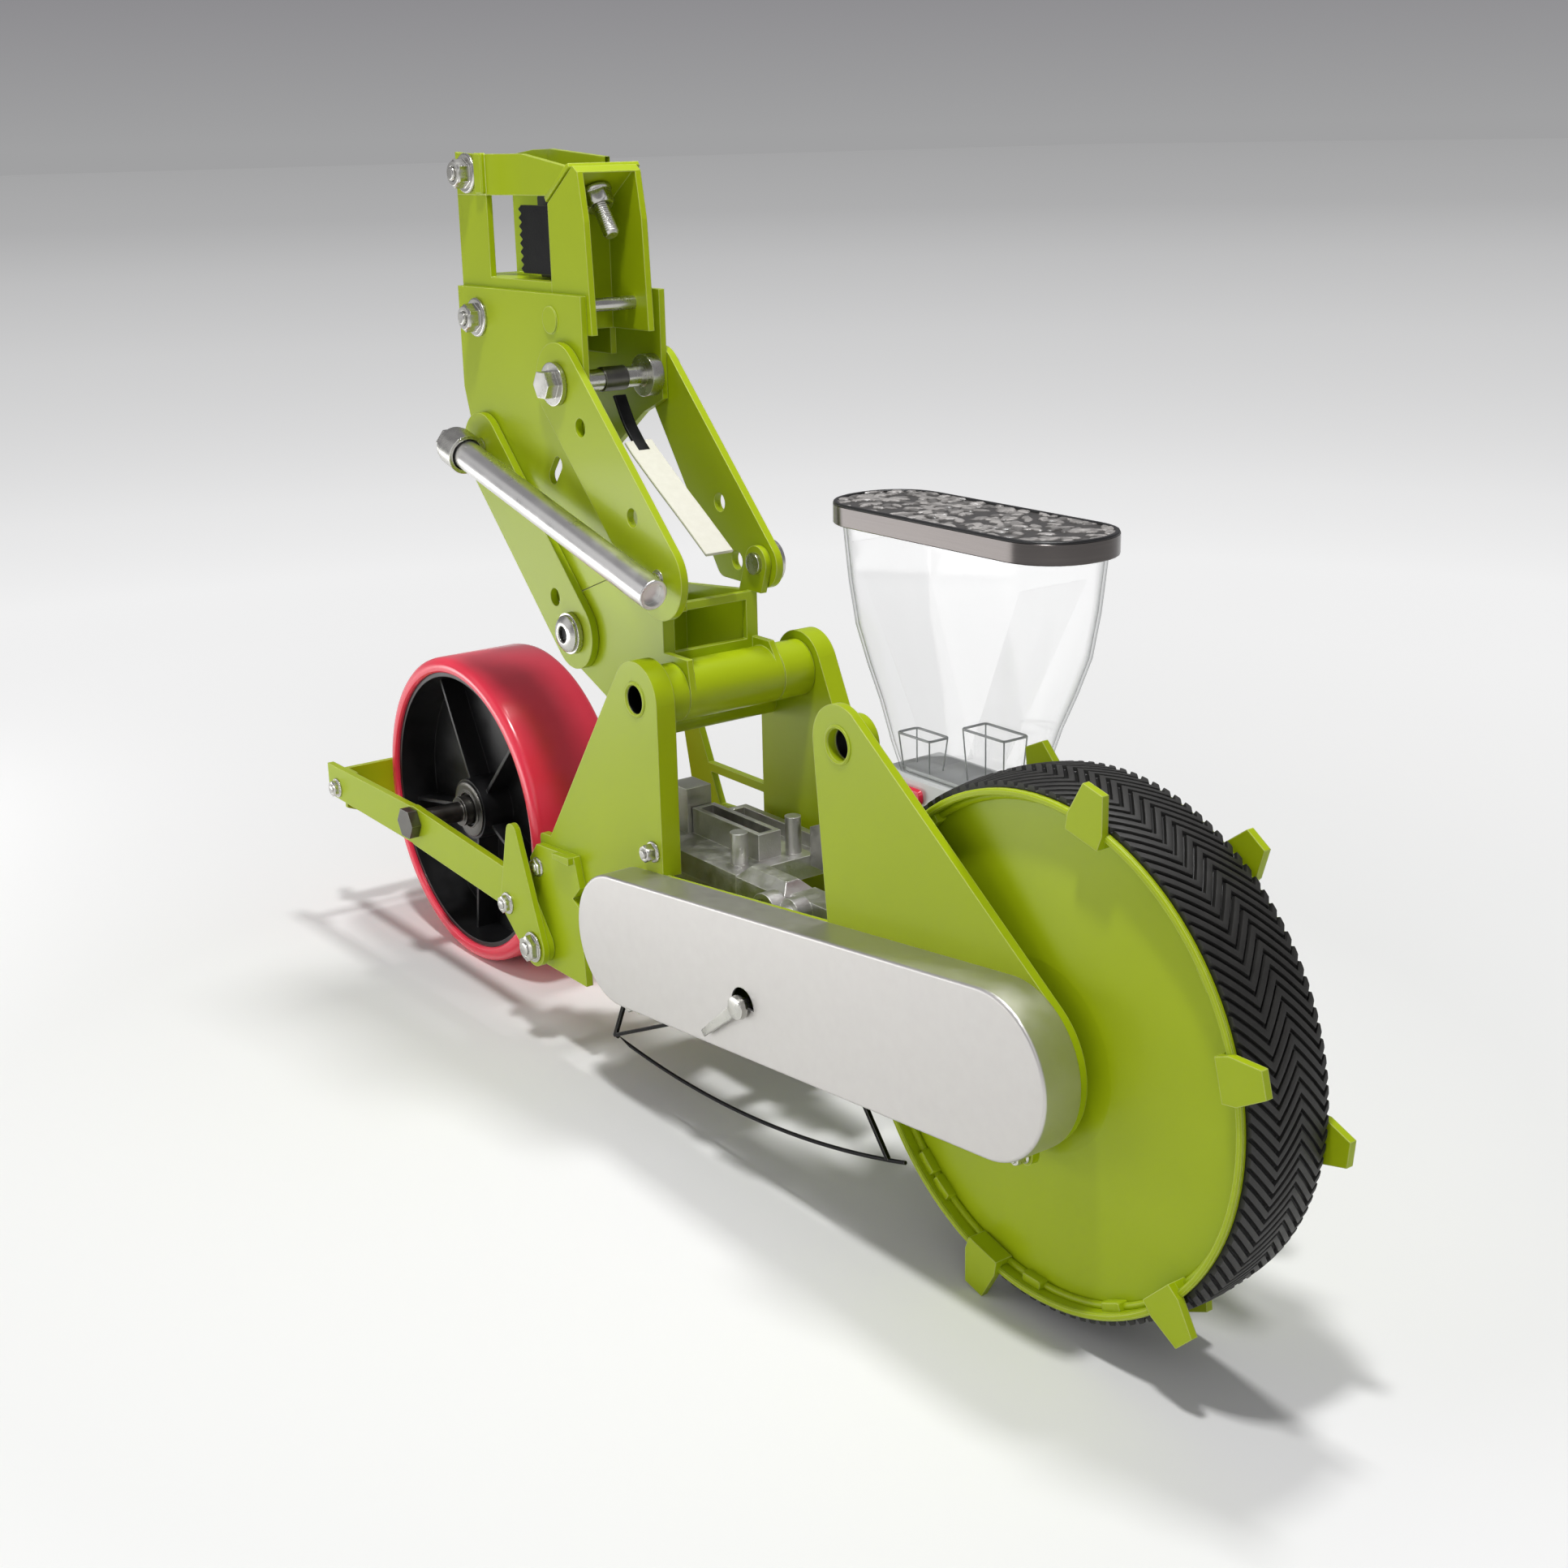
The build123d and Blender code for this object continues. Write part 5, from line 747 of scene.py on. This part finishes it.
# %% Latch lever
LATCH, LATCH_TIP = np.array([AXLE[0] - 239.0, 140.0]), np.array([-43.0, -34.0])
reach = np.hypot(*LATCH_TIP)
way = np.array([LATCH_TIP[0] / reach, 0.0, LATCH_TIP[1] / reach])
start = np.array([LATCH[0], 0.0, LATCH[1]])
boss = turned([(0, -87.0), (5, -87.0), (5, -97.6), (8.2, -98.5), (8.6, -100.0), (8.0, -103.6), (6.0, -104.5),
               (0, -104.5)], *LATCH)
# along the handle: distance from the boss, y, width and depth
stations = [(0.0, -101.2, 0, 0), (0.0, -101.2, 9.5, 5.4), (14.0, -101.6, 8.6, 4.6), (34.0, -101.8, 6.6, 3.6),
            (52.0, -101.4, 5.4, 3.0), (reach, -100.4, 3.6, 2.0), (reach, -100.4, 0, 0)]
lever = loft([(width, depth, 0.35 * depth) for _, _, width, depth in stations],
             [start + along * way + (0, y, 0) for along, y, _, _ in stations], (-way[2], 0.0, way[0]), (0, 1, 0))
piece("latch_lever", [boss, lever], "latch", "zinc_steel", stands_for=["cover_latch"])

# %% [markdown]
# ## Band of the toolbar head
# A bent strip runs round the top of the head: along the near side with a step inwards, round the rear and back along
# the far side, where it stands a little higher. A flat flap folds down over the slope. A plane with a Solidify modifier
# has one height; this strip is a path with its own lower and upper edge at each point.

# %% Band and flap
BAND_T, BAND_LOW, BAND_REAR_TOP, BAND_STEP = 4.0, 657.0, 686.0, 8.0
WINDOW_REAR = AXLE[0] - 648.0
SLOPE_FOOT = np.array([AXLE[0] - 556.0, 652.0])


def strip(path, low, high, inward):
    """Upright strip: outer and inner wall along a path of (x, y), joined over the top and underneath, ends closed."""
    outer, inner = np.asarray(path, float), np.asarray(path, float) + inward
    around = ((outer, low), (outer, high), (inner, high), (inner, low), (outer, low))
    grid = np.stack([np.column_stack([line, height]) for line, height in around], axis=1)
    caps = [np.repeat(grid[i:i + 1].mean(axis=1, keepdims=True), len(around), axis=1) for i in (0, -1)]
    return np.concatenate([caps[0], grid, caps[1]])


x = np.array([-694.0, -686.0, -660.0, -640.0, -630.0, -620.0, -605.0, -585.0, -565.0, -552.0, -541.0]) + AXLE[0]
step = np.interp(x, [WINDOW_REAR + 8, WINDOW_REAR + 28], [0.0, BAND_STEP])
base = np.maximum(BAND_LOW, SLOPE_FOOT[1] + 2.2 + (x - SLOPE_FOOT[0]) * math.tan(SLOPE))
near_top = np.interp(x - AXLE[0], [-694, -680, -605, -541], [689.0, 687.5, 687.0, 678.0])
far_top = np.interp(x - AXLE[0], [-694, -660, -620, -541], [686.0, 689.5, 690.0, 684.0])
y = np.linspace(HEAD_NEAR + BAND_T, HEAD_FAR - BAND_T, 7)
rear = np.column_stack([np.full_like(y, x[0]), y])
grids = [strip(np.column_stack([x, HEAD_NEAR + step]), base, near_top, (0.0, BAND_T)),
         strip(np.column_stack([x, HEAD_FAR - step]), base, far_top, (0.0, -BAND_T)),
         strip(rear, np.full_like(y, BAND_LOW), np.full_like(y, BAND_REAR_TOP), (BAND_T, 0.0))]
FLAP, FLAP_EDGE = (62.0, 4.0, 0.8), (60.0, 3.2, 0.8)
foot = np.array([SLOPE_FOOT[0], 0.0, SLOPE_FOOT[1]]) + 3.5 * off_slope
fold = [foot + along * up_slope for along in (-1.0, -1.0, 0.5, 40.5, 42.0, 42.0)]
grids.append(loft([CLOSED, FLAP_EDGE, FLAP, FLAP, FLAP_EDGE, CLOSED], fold, (0, 1, 0), off_slope))
# a pad welded on the near side
pad = [(AXLE[0] - 653.0, HEAD_NEAR + off, 673.0) for off in (0.5, 0.5, -3.0, -4.0, -4.0)]
grids.append(loft([CLOSED, (12, 30, 1.5), (12, 30, 1.5), (10, 28, 1.5), CLOSED], pad, (1, 0, 0), (0, 0, 1)))
piece("head_band", grids, "head", "green_paint", stands_for=["clamp_band"])

# %% [markdown]
# ## Strap in the linkage
# A pale nylon strap hangs between the links on a dark steel hanger below the upper pin. A curve object with a bevel
# would give it a round section. Here it is a flat ribbon: a rounded section carried along a bent line and turned with
# the line's slope. Averaging neighbouring points rounds the bends.

# %% Hanger and strap
UPPER_PIN = (AXLE[0] - 537.0, 524.0)
STRAP = np.array([(-529.0, 514.0), (-516.0, 492.0), (-500.0, 476.0), (-466.0, 453.0), (-432.0, 431.0), (-398.0, 408.0)])
STRAP_Y, STRAP_POINTS, STRAP_SPAN = 7.0, 61, 4
HANGER_END, PALE_START = 26, 21         # points of the line where the hanger ends and the strap starts


def ribbon(line, wide, thick, y):
    """Flat strip along (x, z) points: a rounded section, its thickness square to the line's slope, ends closed."""
    slope = np.gradient(line, axis=0)
    slope /= np.linalg.norm(slope, axis=1, keepdims=True)
    normal = np.stack([-slope[:, 1], np.zeros(len(line)), slope[:, 0]], axis=-1)[:, None]
    ends = [0, *range(len(line)), len(line) - 1]
    sizes = [CLOSED] + [(wide, thick, 0.4 * thick)] * len(line) + [CLOSED]
    return loft(sizes, np.insert(line, 1, y, axis=1)[ends], (0, 1, 0), normal[ends])


corners = STRAP + (AXLE[0], 0)
run = np.linspace(0, len(corners) - 1, STRAP_POINTS)
bent = np.stack([np.interp(run, np.arange(len(corners)), corners[:, i]) for i in (0, 1)], axis=-1)
padded = np.pad(bent, ((STRAP_SPAN, STRAP_SPAN), (0, 0)), mode="edge")
average = np.ones(2 * STRAP_SPAN + 1) / (2 * STRAP_SPAN + 1)
bent = np.stack([np.convolve(padded[:, i], average, "valid") for i in (0, 1)], axis=-1)
sleeve = turned([(8.1, -3), (9.2, -3), (9.2, 17), (8.1, 17), (8.1, -3)], *UPPER_PIN)
piece("pin_sleeve", [sleeve], "head", "zinc_steel", finishes["turned_steel"])
piece("strap_hanger", [ribbon(bent[:HANGER_END], 11.0, 2.6, STRAP_Y)], "head", "zinc_steel", finishes["dark_steel"],
      stands_for=["link_strap"])
piece("pale_strap", [ribbon(bent[PALE_START:], 24.0, 2.4, STRAP_Y)], "head", "zinc_steel", finishes["pale_web"])

# %% [markdown]
# ## Jaw carrier
# Behind the toothed jaw a black slide fills the height of the window. A cube would do but for the rounded corners, so
# it is a loft of two equal sections.

# %% Carrier plate
CARRIER, CARRIER_SIZE = (AXLE[0] - 582.5, 626.5), (52, 60, 2)
carrier = loft([CLOSED, CARRIER_SIZE, CARRIER_SIZE, CLOSED],
               [(CARRIER[0], y, CARRIER[1]) for y in (-8.0, -8.0, 8.0, 8.0)], (1, 0, 0), (0, 0, 1))
piece("jaw_carrier", [carrier], "head", "black_plastic")

# %% [markdown]
# ## Pin cap and bush rims
# The lower pin ends in a button cap with a socket, whose floor is a dark disc as painted shade. The two ears have bored
# bushes: a raised rim on the plate, and a bore darkened inside as painted shade. The shade could be a dark patch in the
# paint, but a thin turned film follows the bore's own place, and the paint stays one simple finish.

# %% Cap, rims and bores with painted shade
LOWER_PIN, EAR, FRONT_EAR = (AXLE[0] - 532.0, 336.0), (AXLE[0] - 403.0, 314.0), (AXLE[0] - 167.0, 333.0)
FILM_OUT, FILM_IN, FILM_END = 10.48, 10.2, 0.6
cap = turned([(0, -46), (14.5, -46), (14.2, -48), (11.5, -50.4), (8.0, -51.2), (6.8, -51.2), (6.2, -50.4), (6.2, -47.4),
              (0, -47.4)], *LOWER_PIN)
piece("pin_cap", [cap], "tower", "zinc_steel")
# a dark disc in the socket: painted shade
socket_shade = turned([(0, -47.3), (6.0, -47.3), (6.0, -48.4), (0, -48.4)], *LOWER_PIN, 10.4)
piece("pin_socket_shade", [socket_shade], "tower", "dark_steel")
bush_rim = [(10.6, -68.6), (13.4, -68.6), (13.0, -69.8), (11.6, -70.2), (10.6, -69.4), (10.6, -68.6)]
piece("bush_rims", [turned(bush_rim, *ear) for ear in (EAR, FRONT_EAR)], "frame", "green_paint")
ear_span = [corner[1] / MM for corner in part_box("front_ear_boss")]
tube_span = [corner[1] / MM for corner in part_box("pivot_tube")]
for name, body, ear, (near, far) in (("pivot_bore_shade", "tower", EAR, tube_span),
                                     ("ear_bore_shade", "frame", FRONT_EAR, ear_span)):
    near, far = near + FILM_END, far - FILM_END
    # a dark film inside each bore: painted shade
    bore_shade = turned([(FILM_OUT, near), (FILM_OUT, far), (FILM_IN, far), (FILM_IN, near), (FILM_OUT, near)], *ear)
    piece(name, [bore_shade], body, "dark_steel")

# %% [markdown]
# ## Floor
# A studio floor is a wide pale sheet that darkens with distance, as it does when only the middle of a room is lit. Near
# the machine the floor shows only the light that falls on it, so its shadow stays. Further out, lamps for a whole room
# would be needed; instead a glow, seen by the camera and in reflections but casting no light, carries the floor into
# the grey of the wall.

# %% Floor
FLOOR_HALF, GLOW_SCALE = 60.0, 4.0
# distance from the middle in metres, glow there
GLOW = [(0.6, 0.0), (0.9, 0.1), (1.28, 0.23), (1.6, 0.33), (2.12, 0.45), (2.9, 0.48), (4.1, 0.455), (6.2, 0.42),
        (10.8, 0.335), (19.0, 0.24), (400.0, 0.175)]


def looked_at(tree):
    """1 for rays of the camera, in mirrors and through clear walls, 0 for rays that light other surfaces."""
    ray = add(tree, "LightPath").outputs
    seen = add(tree, "Math", [(0, ray["Is Camera Ray"]), (1, ray["Is Glossy Ray"])], operation="MAXIMUM")
    return add(tree, "Math", [(0, seen), (1, ray["Is Transmission Ray"])], operation="MAXIMUM")


floor_mesh = bpy.data.meshes.new("floor")
floor_corners = [(x * FLOOR_HALF, y * FLOOR_HALF, 0) for x, y in ((-1, -1), (1, -1), (1, 1), (-1, 1))]
floor_mesh.from_pydata(floor_corners, [], [(0, 1, 2, 3)])
floor = bpy.data.objects.new("floor", floor_mesh)
bpy.context.scene.collection.objects.link(floor)
# matt white paper: it takes the shadow and has no gloss
floor_material, tree, place = blank("studio_floor")
distance = add(tree, "VectorMath", [(0, place)], operation="LENGTH").outputs["Value"]
# distance squeezed into 0 to 1: distance / (distance + scale)
longer = add(tree, "Math", [(0, distance)], operation="ADD", _1=GLOW_SCALE)
share = add(tree, "Math", [(0, distance), (1, longer)], operation="DIVIDE")
glow = add(tree, "ValToRGB", [("Fac", share)])
stops = glow.color_ramp.elements
stops[0].position, stops[0].color = 0.0, (0.0, 0.0, 0.0, 1.0)
stops[1].position, stops[1].color = 1.0, (GLOW[-1][1],) * 3 + (1.0,)
for metres, amount in GLOW[:-1]:
    stops.new(metres / (metres + GLOW_SCALE)).color = (amount, amount, amount, 1.0)
paper = add(tree, "BsdfDiffuse", Color=linear("#f2f2f1"))
shown = add(tree, "Emission", [("Color", glow)])
hidden = add(tree, "Emission", Strength=0.0)
veil = add(tree, "MixShader", [(0, looked_at(tree)), (1, hidden), (2, shown)])
ground = add(tree, "AddShader", [(0, paper), (1, veil)])
add(tree, "OutputMaterial", [("Surface", ground)])
floor_mesh.materials.append(floor_material)
print("floor", len(GLOW), "glow stops")

# %% [markdown]
# ## Wall
# Behind the floor the wall is a grey that darkens a little upwards. It is the world itself and needs no mesh. What the
# eye sees and what lights the machine differ: the even light for surfaces is set apart from the grey that is looked at.

# %% Wall
WALL_RISE = 0.06        # upward slope of the look over which the wall darkens
world = bpy.data.worlds.new("studio")
bpy.context.scene.world = world
world.use_nodes = True
tree = world.node_tree
tree.nodes.clear()
aim = add(tree, "SeparateXYZ", [(0, add(tree, "TexCoord").outputs["Generated"])]).outputs["Z"]
height = add(tree, "MapRange", [("Value", aim)], From__Min=0.0, From__Max=WALL_RISE)
wall_tone = add(tree, "Mix", [("Factor", height)], data_type="RGBA", _6=linear("#a1a1a2"), _7=linear("#8e8d90"))
air = add(tree, "Mix", [("Factor", looked_at(tree)), (7, wall_tone.outputs[2])], data_type="RGBA", _6=linear("#7c7c7e"))
sky = add(tree, "Background", [("Color", air.outputs[2])])
add(tree, "OutputWorld", [("Surface", sky)])
print("world", world.name)

# %% [markdown]
# ## Lamps
# Two small lamps hang over the machine, one in front and one behind, and cast the two shadows. Two broad ones, to the
# left in front and on the camera's side, fill the shaded faces. A long low lamp on the left grazes the plates and the
# press wheel arms. One strong lamp would be simpler, but leaves the near side of the machine dark.

# %% Lamps
LAMPS = {
    # lamp: place, target, width, depth, power
    "front_right": ((0.5, -0.55, 2.55), (0.2, 0.0, 0.0), 0.22, 0.22, 31.0),
    "rear": ((-0.05, 0.45, 2.4), (0.05, 0.0, 0.1), 0.3, 0.3, 20.5),
    "low_left": ((-0.95, -0.95, 0.14), (-0.15, 0.0, 0.4), 1.2, 0.26, 4.0),
    "front_left": ((-1.5, -2.6, 1.6), (0.0, 0.0, 0.25), 2.5, 2.0, 9.0),
    "camera_side": ((2.3, -1.7, 1.5), (0.0, 0.0, 0.25), 2.0, 2.0, 9.0),
}
for name, (spot, target, width, depth, power) in LAMPS.items():
    lamp = bpy.data.lights.new(name, "AREA")
    lamp.shape, lamp.size, lamp.size_y, lamp.energy = "RECTANGLE", width, depth, power
    light = bpy.data.objects.new(name, lamp)
    light.location = spot
    light.rotation_euler = (Vector(target) - Vector(spot)).to_track_quat("-Z", "Y").to_euler()
    bpy.context.scene.collection.objects.link(light)
    print("lamp", name, power, "W")
